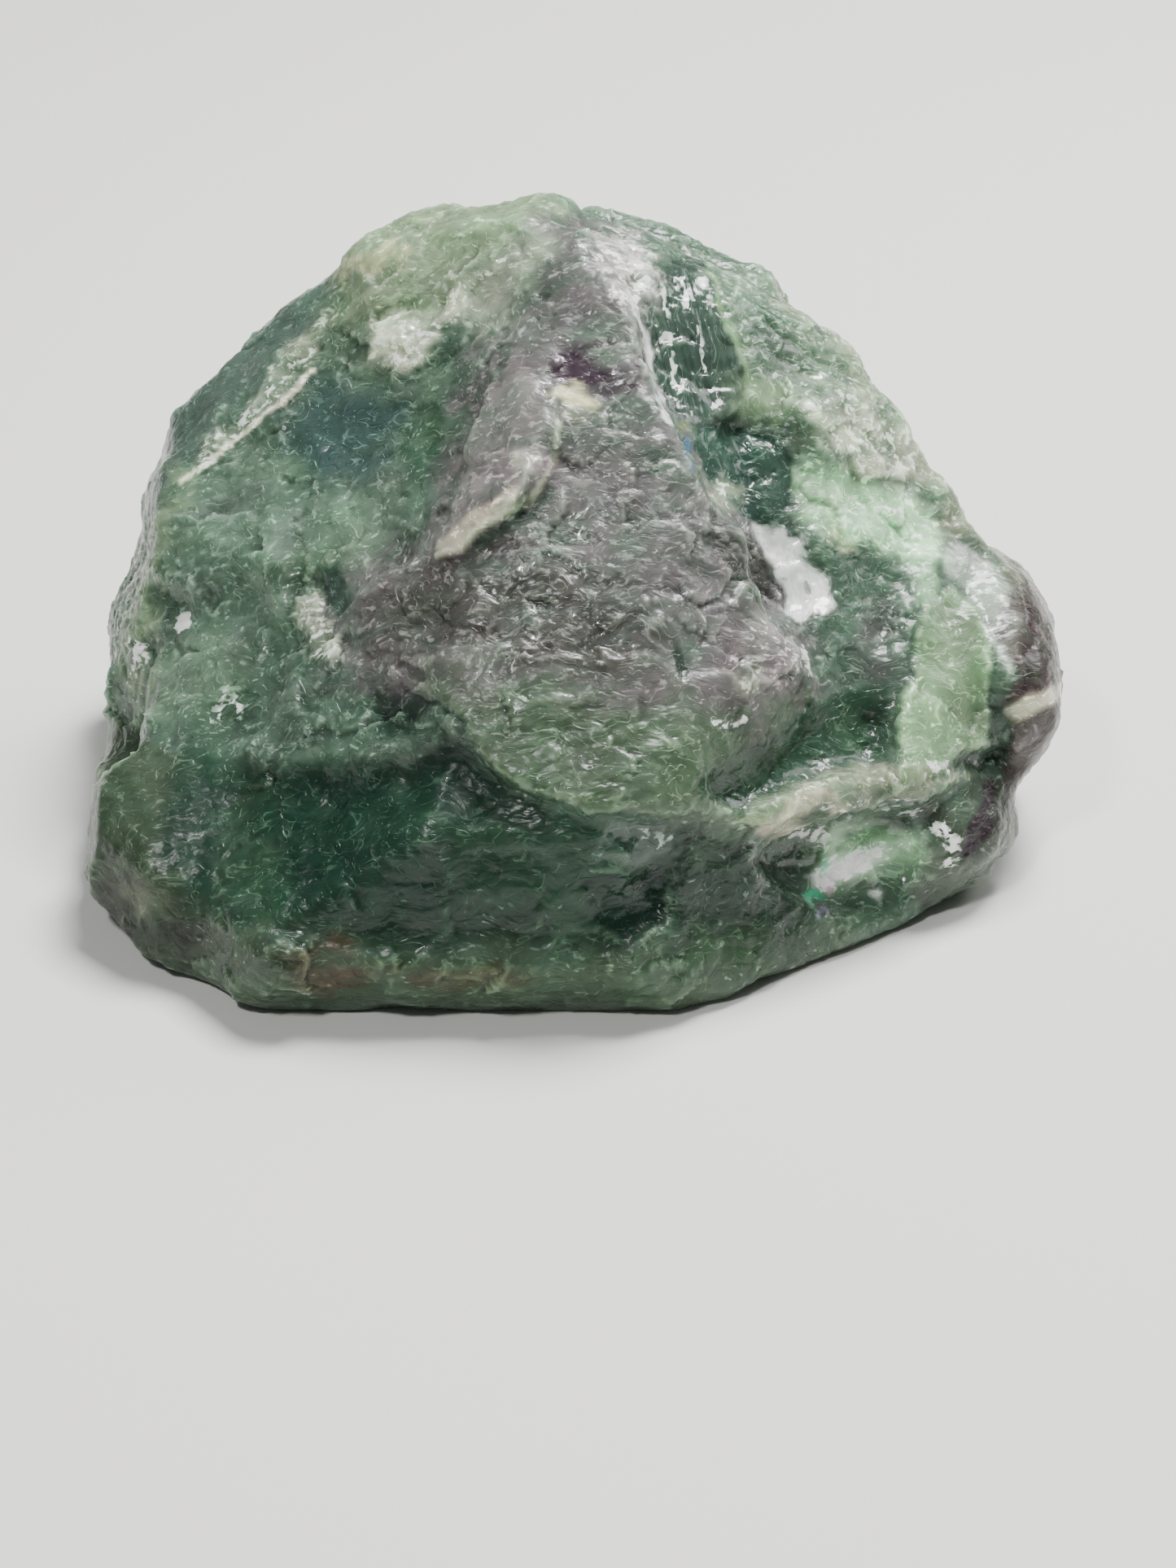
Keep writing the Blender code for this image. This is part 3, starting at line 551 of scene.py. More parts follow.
def sculpt(stone):
    mesh = stone.data
    places, normals = placesOf(mesh), normalsOf(mesh)
    boards = onBoard(places)
    front = frontWeight(normals)
    heights = np.zeros(len(places))
    for name, (height, width) in ledges.items():
        heights += height * smoothStep(-width, width, zoneDistance(name, boards)) * front
    onTongue = smoothStep(-tongueEdge["width"], tongueEdge["width"], zoneDistance("tongue", boards))
    onTongue *= 1 - smoothStep(*tongueEdge["fade"], -zoneDistance("tongue edge", boards))
    heights += tongueEdge["height"] * onTongue * front
    moveAlong(mesh, unit(np.array(board["out"])), heights)
    applyModifier(stone, "SMOOTH", factor=0.3, iterations=1)

    places, normals = placesOf(mesh), normalsOf(mesh)
    strength = 0.75 + 0.35 * lumps(places, 7, 5) + 0.45 * (1 - front)
    for name, value in rough.items():
        strength = blend(strength, value, smoothStep(-0.5, 0.5, zoneDistance(name, boards)) * front)
    heights = np.zeros(len(places))
    for seed, (size, tilt, offset) in enumerate(chips.values()):
        heights += chipHeights(places, normals, size, tilt, offset, seed + 3) * strength
    for seed, terrace in enumerate(terraces.values()):
        heights += terraceHeights(places, *terrace, seed + 71) * np.minimum(strength + 0.3, 1.4)
    # diagonal wrinkles on the right slope, and finer ones all over
    slanted = places @ np.array([[0.5, 0.2, 0.75], [-0.12, 0.1, 0.06], [0.2, 0.9, -0.3]]).T
    wrinkles = 1 - np.abs(lumps(slanted, 0.9, 8)) * 2.2
    onSlope = smoothStep(-0.6, 0.6, zoneDistance("right slope", boards)) * front
    heights += wrinkles * (0.01 + 0.08 * onSlope) * np.clip(strength, 0, 1)
    heights += 0.008 * layeredLumps(places, 1.2, 2, 9) * strength
    # the flat base stays flat
    heights *= smoothStep(0.25, 1.4, places[:, 2])
    moveAlong(mesh, normals, heights)
    places = placesOf(mesh)
    places[:, 2] = np.maximum(places[:, 2], 0)
    mesh.vertices.foreach_set("co", (places * mm).ravel())
    mesh.update()


# Colour: where the stone is clear, milky, violet or stained, with painted glints, highlights and shade

palette = {
    "mid green": "#536959", "soft green": "#718c77", "grey green": "#52634c", "milky": "#7b927a",
    "pale green": "#879b7a", "bright green": "#95b68b", "deep green": "#224431", "dark glass": "#112f23",
    "foot green": "#40563f", "olive": "#3e4c3a", "corner grey": "#444d40", "smoke": "#394b41",
    "teal smoke": "#415a4c", "blue window": "#4c6561", "pit teal": "#344f45", "violet grey": "#686464",
    "lilac": "#8e8785", "pale lilac": "#bcb8b3", "purple": "#33202f", "brown violet": "#4a3b3c",
    "cream": "#d0cfa2", "dull cream": "#7e886e", "frost": "#a9b89c", "pale frost": "#d3dcc0",
    # the near-white here is the colour of painted highlights and glints
    "glint white": "#f3f7f2", "rust": "#50301d", "leaf gold": "#929c3e", "sea blue": "#2f6a8e", "rose": "#c9a0b8",
    "warm frost": "#cbc4ae", "pale cream": "#e2dfc4", "grey teal": "#4c6256", "sea green": "#4fd09f", "trough green": "#43574c", "slope pale": "#8f987e", "plate grey": "#45453f", "corner dark": "#41423e",
    "gleam violet": "#8f7cab", "strip grey": "#54695d", "sheen": "#b4bfb1", "corner pale": "#767b68", "deep glass": "#1c3b2e", "bench green": "#b6e3b6", "lobe grey": "#2a3228", "crown side": "#94a58c",
}

coats = {   # zone: (colour, cover, clearness, gloss, softness of its edge in mm, how broken up it is)
    "left high": ("soft green", 0.6, 0.25, 0.5, 3.5, 0.6),
    "right slope": ("milky", 0.8, 0.3, 0.6, 2.4, 0.5),
    "slope shade": ("mid green", 0.75, 0.4, 0.7, 2.4, 0.6),
    "crown": ("pale green", 0.85, 0.15, 0.4, 2.8, 0.4),
    "crown gleam": ("pale frost", 0.6, 0.1, 0.5, 1.2, 0.8),
    "crown cream": ("cream", 0.45, 0.1, 0.5, 1.0, 0.8),
    "left strip": ("strip grey", 0.9, 0.35, 0.6, 0.5, 0.2),
    "left frost": ("mid green", 0.5, 0.1, 0.5, 2.0, 0.8),
    "left of tongue": ("deep green", 0.6, 0.3, 0.5, 2.5, 0.6),
    "left pale": ("soft green", 0.35, 0.2, 0.5, 3.0, 0.7),
    "frost tail": ("pale green", 0.6, 0.05, 0.4, 1.4, 0.9),
    "left window": ("blue window", 0.9, 0.5, 0.7, 2.6, 0.4),
    # the front's dark green is partly the clear stone's own deep green and partly painted shade, as the front faces
    # away from the light
    "front face": ("deep green", 0.9, 0.35, 0.4, 1.8, 0.3),
    "deep front": ("deep glass", 0.9, 0.35, 0.45, 2.4, 0.4),
    "deep front high": ("deep glass", 0.85, 0.4, 0.3, 1.0, 0.3),
    "low right": ("dark glass", 0.8, 0.4, 0.5, 1.6, 0.4),
    # the foot's dark green is partly painted shade near the floor
    "milky foot": ("foot green", 0.85, 0.2, 0.4, 3.0, 0.6),
    "pale foot": ("corner grey", 0.5, 0.1, 0.4, 1.8, 0.6),
    "left lobe": ("olive", 0.9, 0.3, 0.4, 0.8, 0.3),
    "lobe shade": ("deep glass", 0.8, 0.3, 0.3, 1.6, 0.4),
    # painted shade on the left lobe's foot
    "lobe foot": ("lobe grey", 0.9, 0.3, 0.4, 2.4, 0.4),
    "small window": ("dark glass", 0.8, 0.45, 0.7, 1.0, 0.4),
    "apron": ("grey green", 0.85, 0.25, 0.45, 0.6, 0.4),
    "violet plate": ("violet grey", 0.85, 0.15, 0.45, 2.6, 0.6),
    "crown side": ("crown side", 0.75, 0.1, 0.5, 2.2, 0.5),
    "plate shade": ("plate grey", 0.75, 0.3, 0.5, 2.4, 0.6),
    "plate low": ("plate grey", 0.9, 0.3, 0.5, 3.0, 0.7),
    "plate corner": ("corner dark", 0.9, 0.3, 0.6, 0.5, 0.3),
    "lilac end": ("lilac", 0.5, 0.1, 0.6, 1.2, 0.6),
    "tongue": ("lilac", 0.35, 0.2, 0.5, 1.6, 0.6),
    "tongue rim": ("warm frost", 0.9, 0.1, 0.5, 0.5, 0.7),
    "tongue edge": ("pale frost", 0.6, 0.1, 0.5, 0.3, 0.5),
    # painted highlight on the tongue
    "tongue highlight": ("pale frost", 0.4, 0.1, 0.5, 1.0, 0.8),
    # painted shadow under the tongue's rim
    "rim shadow": ("deep green", 0.6, 0.3, 0.4, 0.5, 0.4),
    "apron notch": ("dark glass", 0.7, 0.3, 0.5, 0.5, 0.5),
    "shoulder": ("bright green", 0.8, 0.3, 0.6, 0.6, 0.3),
    "pale bench": ("bench green", 1.0, 0.2, 0.6, 1.4, 0.3),
    "bench cream": ("cream", 0.5, 0.1, 0.6, 0.9, 0.8),
    "pit brow": ("bright green", 0.9, 0.2, 0.6, 1.0, 0.4),
    "green gap": ("mid green", 0.62, 0.35, 0.6, 1.2, 0.4),
    "sheen strip": ("sheen", 0.85, 0.1, 0.8, 0.5, 0.3),
    "cream ledge": ("dull cream", 0.85, 0.1, 0.5, 0.7, 0.8),
    "slope cream": ("pale frost", 0.6, 0.1, 0.5, 2.0, 0.9),
    "right cream": ("slope pale", 0.8, 0.1, 0.5, 1.8, 0.9),
    "frost ridge": ("frost", 0.4, 0.05, 0.4, 1.2, 1.0),
    "frost ridge top": ("dull cream", 0.6, 0.05, 0.4, 0.9, 1.2),
    "frost line": ("pale cream", 0.95, 0.05, 0.4, 0.25, 0.4),
    "frost patch": ("pale frost", 0.9, 0.05, 0.4, 1.6, 0.9),
    "trough": ("trough green", 0.85, 0.35, 0.9, 0.5, 0.8),
    "trough rim": ("bright green", 0.8, 0.1, 0.7, 0.35, 0.4),
    # painted highlight along the trough's left ridge
    "bright line": ("glint white", 0.9, 0.05, 0.9, 0.4, 1.1),
    "pit": ("pit teal", 0.95, 0.4, 0.75, 0.25, 0.3),
    "pit deep": ("mid green", 0.35, 0.4, 0.8, 1.2, 0.5),
    "pit glow": ("frost", 0.7, 0.2, 0.8, 1.0, 0.8),
    # painted highlight: the glare on the bright facet
    "bright facet": ("glint white", 0.95, 0.05, 0.9, 0.4, 0.5),
    "facet green": ("soft green", 0.7, 0.2, 0.9, 1.2, 0.6),
    "bright flakes": ("pale lilac", 0.75, 0.05, 0.8, 1.4, 0.7),
    "green facet": ("deep green", 0.76, 0.35, 0.7, 0.6, 0.3),
    "facet blob": ("dark glass", 0.5, 0.4, 0.7, 1.2, 0.5),
    "gap smoke": ("violet grey", 0.6, 0.3, 0.6, 2.0, 0.6),
    "dark wedge": ("grey teal", 0.8, 0.3, 0.8, 0.4, 0.6),
    "dark facet": ("deep glass", 0.9, 0.4, 0.5, 0.6, 0.3),
    "scoop": ("mid green", 0.85, 0.4, 1.0, 1.4, 0.5),
    "scoop glow": ("bench green", 0.95, 0.15, 1.0, 2.4, 0.4),
    "scoop dark": ("dark glass", 0.8, 0.3, 1.0, 1.2, 0.8),
    "scoop shade": ("dark glass", 0.6, 0.3, 1.0, 0.7, 1.0),
    "scoop crest": ("dark glass", 0.75, 0.3, 1.0, 0.7, 0.9),
    "scoop strand": ("warm frost", 0.8, 0.1, 0.6, 0.5, 0.6),
    "scoop gleam": ("glint white", 0.9, 0.1, 1.0, 1.0, 0.3),
    "right lobe": ("brown violet", 0.9, 0.25, 0.5, 0.8, 0.3),
    "lobe top": ("corner pale", 0.7, 0.2, 0.6, 1.2, 0.5),
    "lobe gleam": ("pale cream", 0.8, 0.1, 0.8, 0.6, 0.5),
    "lobe crease": ("purple", 0.5, 0.2, 0.7, 0.6, 0.6),
    "corner lobe": ("corner grey", 0.85, 0.3, 0.55, 0.8, 0.5),
    "purple vein": ("purple", 0.9, 0.2, 0.5, 0.4, 0.3),
    "purple spot": ("purple", 0.95, 0.2, 0.5, 1.4, 1.1),
    "purple spot low": ("purple", 0.6, 0.2, 0.5, 1.2, 1.2),
    "cream spot": ("cream", 1.0, 0.0, 0.4, 0.7, 1.5),
    "rust spot": ("rust", 0.6, 0.1, 0.35, 2.2, 1.0),
    "rust trace": ("rust", 0.4, 0.1, 0.35, 1.2, 1.0),
    "brown spot": ("dull cream", 0.7, 0.1, 0.4, 1.0, 1.0),
    "pale spot": ("dull cream", 0.5, 0.1, 0.4, 1.2, 0.8),
    "sparkle": ("frost", 0.7, 0.1, 0.8, 0.8, 0.9),
    "sparkle slot": ("pit teal", 0.7, 0.3, 0.6, 0.4, 0.4),
    # painted iridescent reflections: small coloured gleams on cleavage cracks
    "gold gleam": ("leaf gold", 0.6, 0.1, 1.0, 0.4, 0.8),
    "blue gleam": ("sea blue", 0.8, 0.1, 1.0, 0.5, 0.8),
    "teal gleam": ("sea green", 0.85, 0.1, 1.0, 0.4, 0.6),
    "teal gleam high": ("sea green", 0.6, 0.1, 1.0, 0.5, 0.6),
    "rose gleam": ("rose", 0.7, 0.1, 1.0, 0.4, 0.6),
    "violet gleam": ("gleam violet", 0.8, 0.1, 1.0, 0.4, 0.6),
    "cyan gleam": ("glint white", 0.8, 0.1, 1.0, 0.4, 0.6),
}

paintedGlints = {   # zone: (how densely painted glints, highlights painted onto small cleavage faces, cover it, softness of its edge in mm)
    "right slope": (0.22, 2.0), "crown": (0.12, 2.0), "left frost": (0.2, 2.0), "left strip": (0.02, 1.0),
    "left window": (0.05, 2.0), "violet plate": (0.2, 1.5), "front face": (0.07, 2.0), "deep front": (0.0, 2.0),
    "milky foot": (0.12, 2.5), "left lobe": (0.0, 0.5), "pale bench": (0.18, 1.5), "shoulder": (0.1, 1.0),
    "slope cream": (0.32, 1.6), "right cream": (0.26, 1.4), "green facet": (0.02, 1.0), "cream ledge": (0.15, 0.6),
    "frost ridge": (0.36, 0.9), "frost ridge top": (0.3, 0.8), "frost line": (0.4, 0.4),
    "frost patch": (0.4, 1.4), "crown gleam": (0.34, 1.0), "tongue rim": (0.22, 0.6),
    "trough": (0.0, 0.6), "trough head": (0.16, 1.6), "trough glint": (0.7, 0.3), "trough glint left": (0.7, 0.4),
    "trough rib high": (0.8, 0.3), "trough rib middle": (0.9, 0.3), "trough rib low": (0.7, 0.2),
    "trough rib right": (0.6, 0.2),
    "bright facet": (0.85, 0.3), "bright flakes": (0.4, 1.4), "bright line": (0.6, 0.35), "pit glow": (0.36, 1.2),
    "pit lip": (0.5, 0.4), "apron glint": (0.6, 0.3), "ledge glint": (0.8, 0.3), "bench glint": (0.3, 0.5),
    "wedge glint": (0.34, 0.8), "corner glint": (0.6, 0.8), "lobe gleam": (0.3, 0.6), "rib left": (0.6, 0.2),
    "rib middle": (0.75, 0.2), "rib right": (0.95, 0.2), "left glint": (0.75, 0.8), "left chip": (0.9, 0.4),
    "left net": (0.45, 1.4), "high glint": (0.3, 1.0), "sparkle": (0.42, 0.8), "scoop": (0.12, 1.0),
    "scoop glow": (0.16, 2.0), "scoop gleam": (0.5, 1.0), "scoop glint": (0.9, 0.5), "scoop crest": (0.34, 0.8),
    "lilac end": (0.28, 1.0),
}


facets = {"count": 16000, "shake": 0.25}


def convexity(mesh, places, normals):
    # positive on ridges and negative in cracks, in mm, from each point's neighbours
    spread = places
    for _ in range(3):
        spread = neighbourMean(mesh, spread)
    return np.einsum("ij,ij->i", places - spread, normals)


def facetLight(places):
    # how well each small cleavage face catches the light, from 0 to 1
    random = np.random.default_rng(17)
    seeds = places[random.choice(len(places), facets["count"], replace=False)]
    tree = kdtree.KDTree(len(seeds))
    for index, seed in enumerate(seeds):
        tree.insert(seed, index)
    tree.balance()
    shaken = places + facets["shake"] * np.stack([lumps(places, facets["shake"] * 2, 90 + i) for i in range(3)], 1)
    return random.random(len(seeds))[[tree.find(place)[1] for place in shaken]]


def tintStone(stone):
    mesh = stone.data
    places, normals = placesOf(mesh), normalsOf(mesh)
    boards = onBoard(places)
    # the drawing fades out raggedly where the stone turns away
    front = smoothStep(-0.2, 0.3, normals @ unit(np.array(board["out"])) + 0.2 * layeredLumps(places, 5, 3, 91))
    colours = {name: np.array(linear(value)) for name, value in palette.items()}
    tint = np.tile(colours["mid green"], (len(places), 1))
    clear = np.full(len(places), 0.3)
    gloss = np.full(len(places), 0.5)

    # all round: milky clouds and clear green windows, with violet and cream where the drawing doesn't reach
    drawn = 1 - 0.75 * front
    milk = smoothStep(-0.1, 0.7, layeredLumps(places, 11, 4, 31)) * drawn
    window = smoothStep(-0.05, 0.6, layeredLumps(places, 9, 4, 41)) * drawn
    violet = smoothStep(0.2, 0.7, layeredLumps(places, 15, 4, 51)) * (1 - front)
    tint = blend(tint, colours["pale green"], 0.8 * milk[:, None])
    tint = blend(tint, colours["deep green"], 0.85 * window[:, None])
    tint = blend(tint, colours["violet grey"], 0.8 * violet[:, None])
    clear += 0.2 * window - 0.25 * milk - 0.2 * violet

    # broken cover: noise drawn out to the right, as the stone's own wrinkles are
    drawnOut = places * np.array([0.45, 1, 1])
    broken = layeredLumps(drawnOut, 1.5, 3, 61)
    for name, (colour, cover, clearness, shine, softness, breakUp) in coats.items():
        reach = zoneDistance(name, boards) + 0.45 * softness * breakUp * broken
        reach += softness / 2 if name == "violet plate" else 0   # it fades outwards, under its neighbours
        mask = smoothStep(-softness / 2, softness / 2, reach) * front * cover
        mask *= np.clip(1 - breakUp * (0.22 - 0.8 * broken), 0, 1)
        tint = blend(tint, colours[colour], mask[:, None])
        clear, gloss = blend(clear, clearness, mask), blend(gloss, shine, mask)

    # painted glints: highlights painted into the colour, a few all over and more in the listed zones
    paintedGlintCover = 0.06 + 0.07 * front
    for name, (cover, softness) in paintedGlints.items():
        reach = zoneDistance(name, boards) + 0.3 * softness * broken
        paintedGlintCover = blend(paintedGlintCover, cover, smoothStep(-softness / 2, softness / 2, reach) * front)
    striped = np.maximum(zoneDistance("trough", boards), zoneDistance("bright facet", boards))
    striped = smoothStep(-0.3, 0.3, striped) * front
    light = facetLight(places)
    paintedGlintCover *= 0.5 + light

    # cloudy depth, which also varies the polish, and where cleavage strokes show
    cloud = np.clip(layeredLumps(places, 2.6, 4, 31), -1, 1)
    gloss = np.clip(gloss + 0.15 * cloud, 0, 1)
    kept = np.clip(0.4 + 2.1 * layeredLumps(places, 0.9, 2, 33), 0, 1)
    # coordinates bent as the cleavage grain is bent
    bent = places + 0.6 * np.stack([layeredLumps(places, 3.3, 3, 35 + 4 * i) for i in range(3)], 1)
    # in the trough the grain runs up the slope, and is drawn out along it
    upright = bent @ np.array([board["up"], board["out"], board["right"]]).T * np.array([0.5, 0.35, 1])
    bent = blend(bent, upright, striped[:, None])

    # the stone's colour drifts from green to violet-brown and from dark to pale, more so on the violet plate
    onPlate = smoothStep(-1, 1, zoneDistance("violet plate", boards)) * front
    drift = layeredLumps(drawnOut, 2.6, 3, 71)
    tint = tint * ((1 + 0.22 * np.clip(drift, -1, 1)) * (1 - 0.2 * cloud))[:, None]
    hue = np.clip(layeredLumps(places, 3.4, 3, 81), -1, 1) * (0.06 + 0.02 * onPlate)
    tint = tint * np.stack((1 - hue, 1 + 0.7 * hue, 1 - 0.5 * hue), 1)

    # broken edges are paler and duller, and cracks are darkened with painted shade
    bend = convexity(mesh, places, normals)
    edge = smoothStep(0.03, 0.13, bend)
    creaseShade = smoothStep(0.03, 0.12, -bend)
    tint = blend(tint * (1 + 0.3 * edge[:, None]), colours["frost"], 0.12 * edge[:, None])
    tint = np.clip(tint * (1 - 0.24 * creaseShade[:, None]), 0.004, 0.94)
    clear = np.clip(clear - 0.3 * edge, 0, 1)

    # a painted glint is a paler patch of its own place where glints are few, and near-white painted highlight where
    # they are dense
    paintedGlintTint = blend(tint * 2 + 0.03, colours["glint white"], smoothStep(0.25, 0.62, paintedGlintCover)[:, None])
    paintedGlintTint *= (0.7 + 0.3 * light)[:, None]
    for name, values in (("tint", tint), ("paintedGlintTint", paintedGlintTint)):
        layer = mesh.color_attributes.new(name, "FLOAT_COLOR", "POINT")
        layer.data.foreach_set("color", np.concatenate((values, np.ones((len(values), 1))), 1).ravel())
    painted = {"clear": clear, "gloss": gloss, "paintedGlintCover": paintedGlintCover, "striped": striped, "kept": kept}
    for name in painted:
        mesh.attributes.new(name, "FLOAT", "POINT").data.foreach_set("value", painted[name])
    mesh.attributes.new("bent", "FLOAT_VECTOR", "POINT").data.foreach_set("vector", bent.ravel())


# Material: rough fluorite, calcium fluoride broken by cleavage. Waxy and translucent where tiny cleavage flakes
# frost it, and like dark green glass where it is clear. IOR 1.434.

fluoriteLook = {
    "ior": 1.434,
    "absorption colour": "#7fbf9a",
    "absorption per metre": 300,
    "glow depth": 4.5,
    "terraces": {        # length and width in mm, steps per noise unit, rise in mm
        "large": (2.4, 1.2, 4.4, 0.05),
        "small": (1.0, 0.45, 3.6, 0.028),
    },
    "glint": (0.9, 0.4),      # length and width in mm
    "stripe width": 0.34,     # of the upright cleavage ribs in the trough
    "riser": 0.1,        # share of a terrace that its edge takes
    "grain width": 0.16,
    "grain rise": 0.004,
}


def addNode(tree, kind, values=None, links=None, **settings):
    node = tree.nodes.new("ShaderNode" + kind)
    for key, value in settings.items():
        setattr(node, key, value)
    for socket, value in (values or {}).items():
        node.inputs[socket].default_value = value
    for socket, source in (links or {}).items():
        tree.links.new(source, node.inputs[socket])
    return node


def fluoriteMaterial():
    look = fluoriteLook
    material = bpy.data.materials.new("brokenFluorite")
    material.use_nodes = True
    tree = material.node_tree
    tree.nodes.clear()
    coordinates = addNode(tree, "TexCoord").outputs["Object"]
    inMm = addNode(tree, "VectorMath", {1: (1000, 1000, 1000)}, {0: coordinates}, operation="MULTIPLY").outputs[0]
    tint = addNode(tree, "Attribute", attribute_name="tint").outputs["Color"]
    paintedGlintTint = addNode(tree, "Attribute", attribute_name="paintedGlintTint").outputs["Color"]
    clear = addNode(tree, "Attribute", attribute_name="clear").outputs["Fac"]
    gloss = addNode(tree, "Attribute", attribute_name="gloss").outputs["Fac"]
    paintedGlintCover = addNode(tree, "Attribute", attribute_name="paintedGlintCover").outputs["Fac"]
    striped = addNode(tree, "Attribute", attribute_name="striped").outputs["Fac"]
    kept = addNode(tree, "Attribute", attribute_name="kept").outputs["Fac"]
    bent = addNode(tree, "Attribute", attribute_name="bent").outputs["Vector"]

    grain = addNode(tree, "TexNoise", {"Scale": 1 / look["grain width"], "Detail": 1}, {"Vector": inMm}).outputs["Fac"]

    # cleavage terraces: contour steps of a noise drawn out along the grain, each with a thin broken edge
    rises, strokes = [], []
    for long, short, levels, rise in look["terraces"].values():
        drawnOut = addNode(tree, "Mapping", {"Rotation": (0.1, 0.14, 0.1), "Scale": (1 / long, 1 / short, 1 / short)},
                           {"Vector": bent}).outputs[0]
        field = addNode(tree, "TexNoise", {"Scale": 1, "Detail": 1, "Roughness": 0.5}, {"Vector": drawnOut}).outputs["Fac"]
        count = addNode(tree, "Math", {1: levels}, {0: field}, operation="MULTIPLY").outputs[0]
        part = addNode(tree, "Math", {}, {0: count}, operation="FRACT").outputs[0]
        riser = addNode(tree, "MapRange", {"From Max": look["riser"]}, {"Value": part},
                        interpolation_type="SMOOTHSTEP").outputs[0]
        shelf = addNode(tree, "Math", {}, {0: riser, 1: part}, operation="SUBTRACT").outputs[0]
        rises.append(addNode(tree, "Math", {1: rise}, {0: shelf}, operation="MULTIPLY").outputs[0])
        rim = addNode(tree, "MapRange", {"From Min": 1.6 * look["riser"], "From Max": 0.6 * look["riser"]},
                      {"Value": part}, interpolation_type="SMOOTHSTEP").outputs[0]
        strokes.append(addNode(tree, "Math", {}, {0: rim, 1: kept}, operation="MULTIPLY").outputs[0])

    # the trough's ribs: stripes across the direction that they lie side by side in
    across = addNode(tree, "VectorMath", {1: (0.97, 0.12, 0.21)}, {0: inMm}, operation="DOT_PRODUCT").outputs["Value"]
    ribs = addNode(tree, "TexNoise", {"Scale": 1 / look["stripe width"], "Detail": 1}, {"W": across},
                   noise_dimensions="1D").outputs["Fac"]
    ribs = addNode(tree, "MapRange", {"From Min": 0.3, "From Max": 0.7, "To Min": -1, "To Max": 1},
                   {"Value": ribs}).outputs[0]
    ribs = addNode(tree, "Math", {}, {0: ribs, 1: striped}, operation="MULTIPLY").outputs[0]

    # painted glints: highlights painted onto small cleavage faces, as dense as the painted glint cover says
    length, width = look["glint"]
    flecks = addNode(tree, "Mapping", {"Rotation": (0.1, 0.14, 0.1), "Scale": (1 / length, 1 / width, 1 / width)},
                     {"Vector": bent}).outputs[0]
    flecks = addNode(tree, "TexNoise", {"Scale": 1, "Detail": 2, "Roughness": 0.6}, {"Vector": flecks}).outputs["Fac"]
    flecks = addNode(tree, "MapRange", {"From Min": 0.26, "From Max": 0.74}, {"Value": flecks}).outputs[0]
    flecks = addNode(tree, "Math", {}, {0: flecks, 1: paintedGlintCover}, operation="ADD").outputs[0]
    flecks = addNode(tree, "Math", {1: 0.05}, {0: ribs, 2: flecks}, operation="MULTIPLY_ADD").outputs[0]
    glint = addNode(tree, "MapRange", {"From Min": 0.9, "From Max": 1.04}, {"Value": flecks},
                    interpolation_type="SMOOTHSTEP").outputs[0]

    stroke = addNode(tree, "Math", {}, {0: strokes[0], 1: strokes[1]}, operation="MAXIMUM").outputs[0]
    # a stroke is paler than its own place: some of its brightness again, and a touch of frost
    shade = addNode(tree, "Math", {1: 0.3, 2: 1}, {0: stroke}, operation="MULTIPLY_ADD").outputs[0]
    shade = addNode(tree, "Math", {1: 0.14}, {0: ribs, 2: shade}, operation="MULTIPLY_ADD").outputs[0]
    mottled = addNode(tree, "VectorMath", {}, {0: tint, "Scale": shade}, operation="SCALE").outputs[0]
    frosting = addNode(tree, "Math", {1: 0.06}, {0: stroke}, operation="MULTIPLY").outputs[0]
    colour = addNode(tree, "Mix", {7: (*linear(palette["frost"]), 1)}, {0: frosting, 6: mottled},
                     data_type="RGBA").outputs[2]
    # the painted glints' highlight colour over the stone's own colour
    colour = addNode(tree, "Mix", {}, {0: glint, 6: colour, 7: paintedGlintTint}, data_type="RGBA").outputs[2]

    # clearness: less where strokes and glints lie
    seeThrough = addNode(tree, "Math", {1: -0.4}, {0: stroke, 2: clear}, operation="MULTIPLY_ADD").outputs[0]
    seeThrough = addNode(tree, "Math", {}, {0: seeThrough, 1: glint}, operation="SUBTRACT").outputs[0]
    seeThrough = addNode(tree, "Math", {1: 0.0}, {0: seeThrough}, operation="MAXIMUM").outputs[0]
    roughness = addNode(tree, "MapRange", {"To Min": 0.48, "To Max": 0.1}, {"Value": gloss}).outputs[0]

    height = addNode(tree, "Math", {}, {0: rises[0], 1: rises[1]}, operation="ADD").outputs[0]
    height = addNode(tree, "Math", {1: look["grain rise"]}, {0: grain, 2: height}, operation="MULTIPLY_ADD").outputs[0]
    height = addNode(tree, "Math", {1: 0.02}, {0: ribs, 2: height}, operation="MULTIPLY_ADD").outputs[0]
    bump = addNode(tree, "Bump", {"Strength": 1.0, "Distance": mm}, {"Height": height}).outputs["Normal"]

    # the glossiest cleavage faces have a second, clearer gleam
    gleam = addNode(tree, "MapRange", {"From Min": 0.45, "From Max": 1.0, "To Min": 0.04, "To Max": 1.0},
                    {"Value": gloss}).outputs[0]
    gleam = addNode(tree, "Math", {}, {0: gleam, 1: glint}, operation="MAXIMUM").outputs[0]
    glow = look["glow depth"] * mm
    shader = addNode(tree, "BsdfPrincipled", {"IOR": look["ior"], "Subsurface Weight": 0.7, "Specular IOR Level": 0.26,
                                              "Subsurface Scale": glow, "Subsurface Radius": (0.7, 1.0, 0.8),
                                              "Coat Roughness": 0.08, "Coat IOR": look["ior"]},
                     {"Base Color": colour, "Roughness": roughness, "Transmission Weight": seeThrough,
                      "Coat Weight": gleam, "Normal": bump}).outputs[0]
    inside = addNode(tree, "VolumeAbsorption", {"Color": (*linear(look["absorption colour"]), 1),
                                                "Density": look["absorption per metre"]}).outputs[0]
    addNode(tree, "OutputMaterial", {}, {"Surface": shader, "Volume": inside})
    return material


# The floor, the lights and the camera

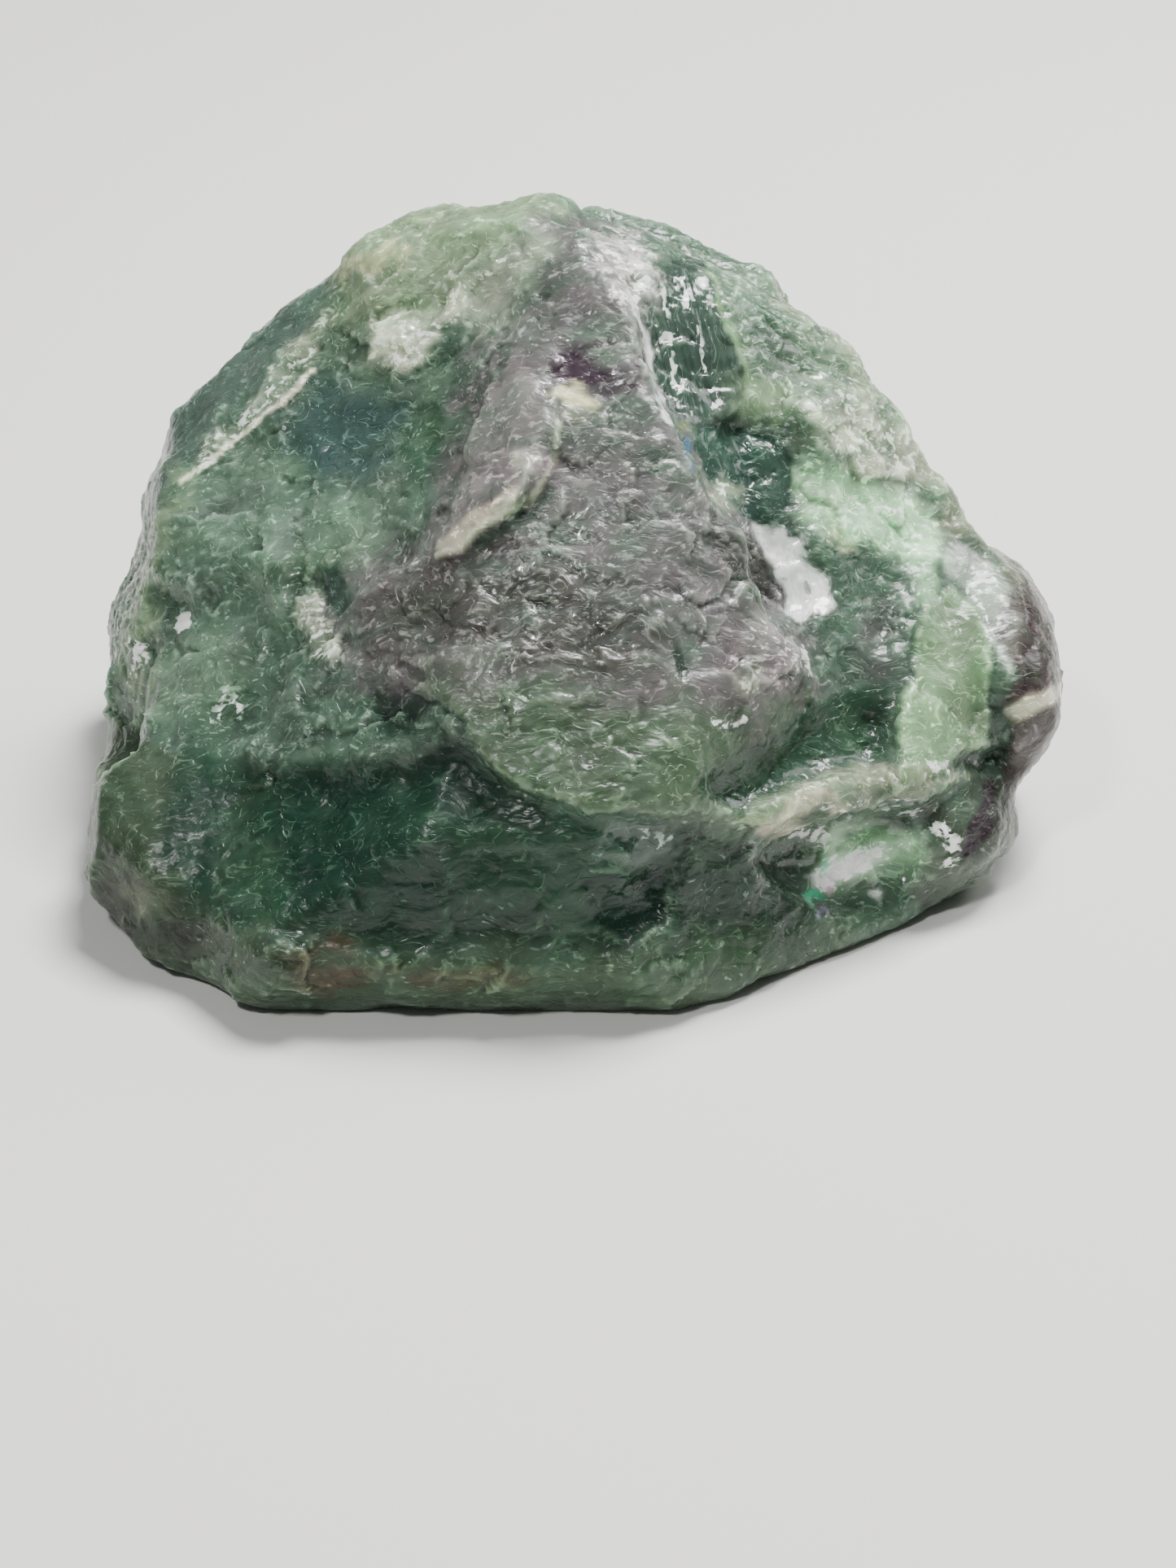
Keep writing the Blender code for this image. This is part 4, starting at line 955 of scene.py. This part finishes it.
studio = {
    "floor": 3.0,
    "camera": (1.2, -195.2, 124.4),
    "tilt": 58,          # from straight down, so it looks down by 32 degrees
    "lens": 81.1,
    "lights": {          # place in mm, size in mm, power in watts
        "key": ((110, 110, 400), 160, 4.5),
        "front": ((-110, -210, 330), 40, 0.8),
        "side": ((260, 140, 240), 150, 0.4),
    },
    "aim": (0, 0, 18),
}


def paleFloor():
    bpy.ops.mesh.primitive_plane_add(size=studio["floor"], location=(0, 0, 0))
    floor = bpy.context.object
    floor.name = "paleFloor"
    material = bpy.data.materials.new("paleCard")
    material.use_nodes = True
    shader = material.node_tree.nodes["Principled BSDF"]
    shader.inputs["Base Color"].default_value = (*linear("#d9d8d4"), 1)
    shader.inputs["Roughness"].default_value = 0.8
    floor.data.materials.append(material)


def softLights():
    for name, (place, size, power) in studio["lights"].items():
        place = Vector(place) * mm
        aim = (Vector(studio["aim"]) * mm - place).to_track_quat("-Z", "Y").to_euler()
        bpy.ops.object.light_add(type="AREA", location=place, rotation=aim)
        light = bpy.context.object
        light.name = name + "Light"
        light.data.size = size * mm
        light.data.energy = power
    world = bpy.data.worlds.new("softRoom")
    world.use_nodes = True
    world.node_tree.nodes["Background"].inputs["Color"].default_value = (0.9, 0.93, 0.95, 1)
    world.node_tree.nodes["Background"].inputs["Strength"].default_value = 0.12
    bpy.context.scene.world = world


def photoCamera():
    bpy.ops.object.camera_add(location=Vector(studio["camera"]) * mm, rotation=(math.radians(studio["tilt"]), 0, 0))
    camera = bpy.context.object
    camera.data.sensor_width = 36
    camera.data.lens = studio["lens"]
    camera.data.clip_start = 0.005
    bpy.context.scene.camera = camera


stone = roughStone()
print("stone remeshed:", len(stone.data.polygons), "triangles")
shape(stone)
sculpt(stone)
print("relief sculpted")
tintStone(stone)
print("stone tinted")
stone.data.materials.append(fluoriteMaterial())
for polygon in stone.data.polygons:
    polygon.use_smooth = True
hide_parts("fluorite")
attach(stone, "root")

paleFloor()
softLights()
photoCamera()
print("studio ready")
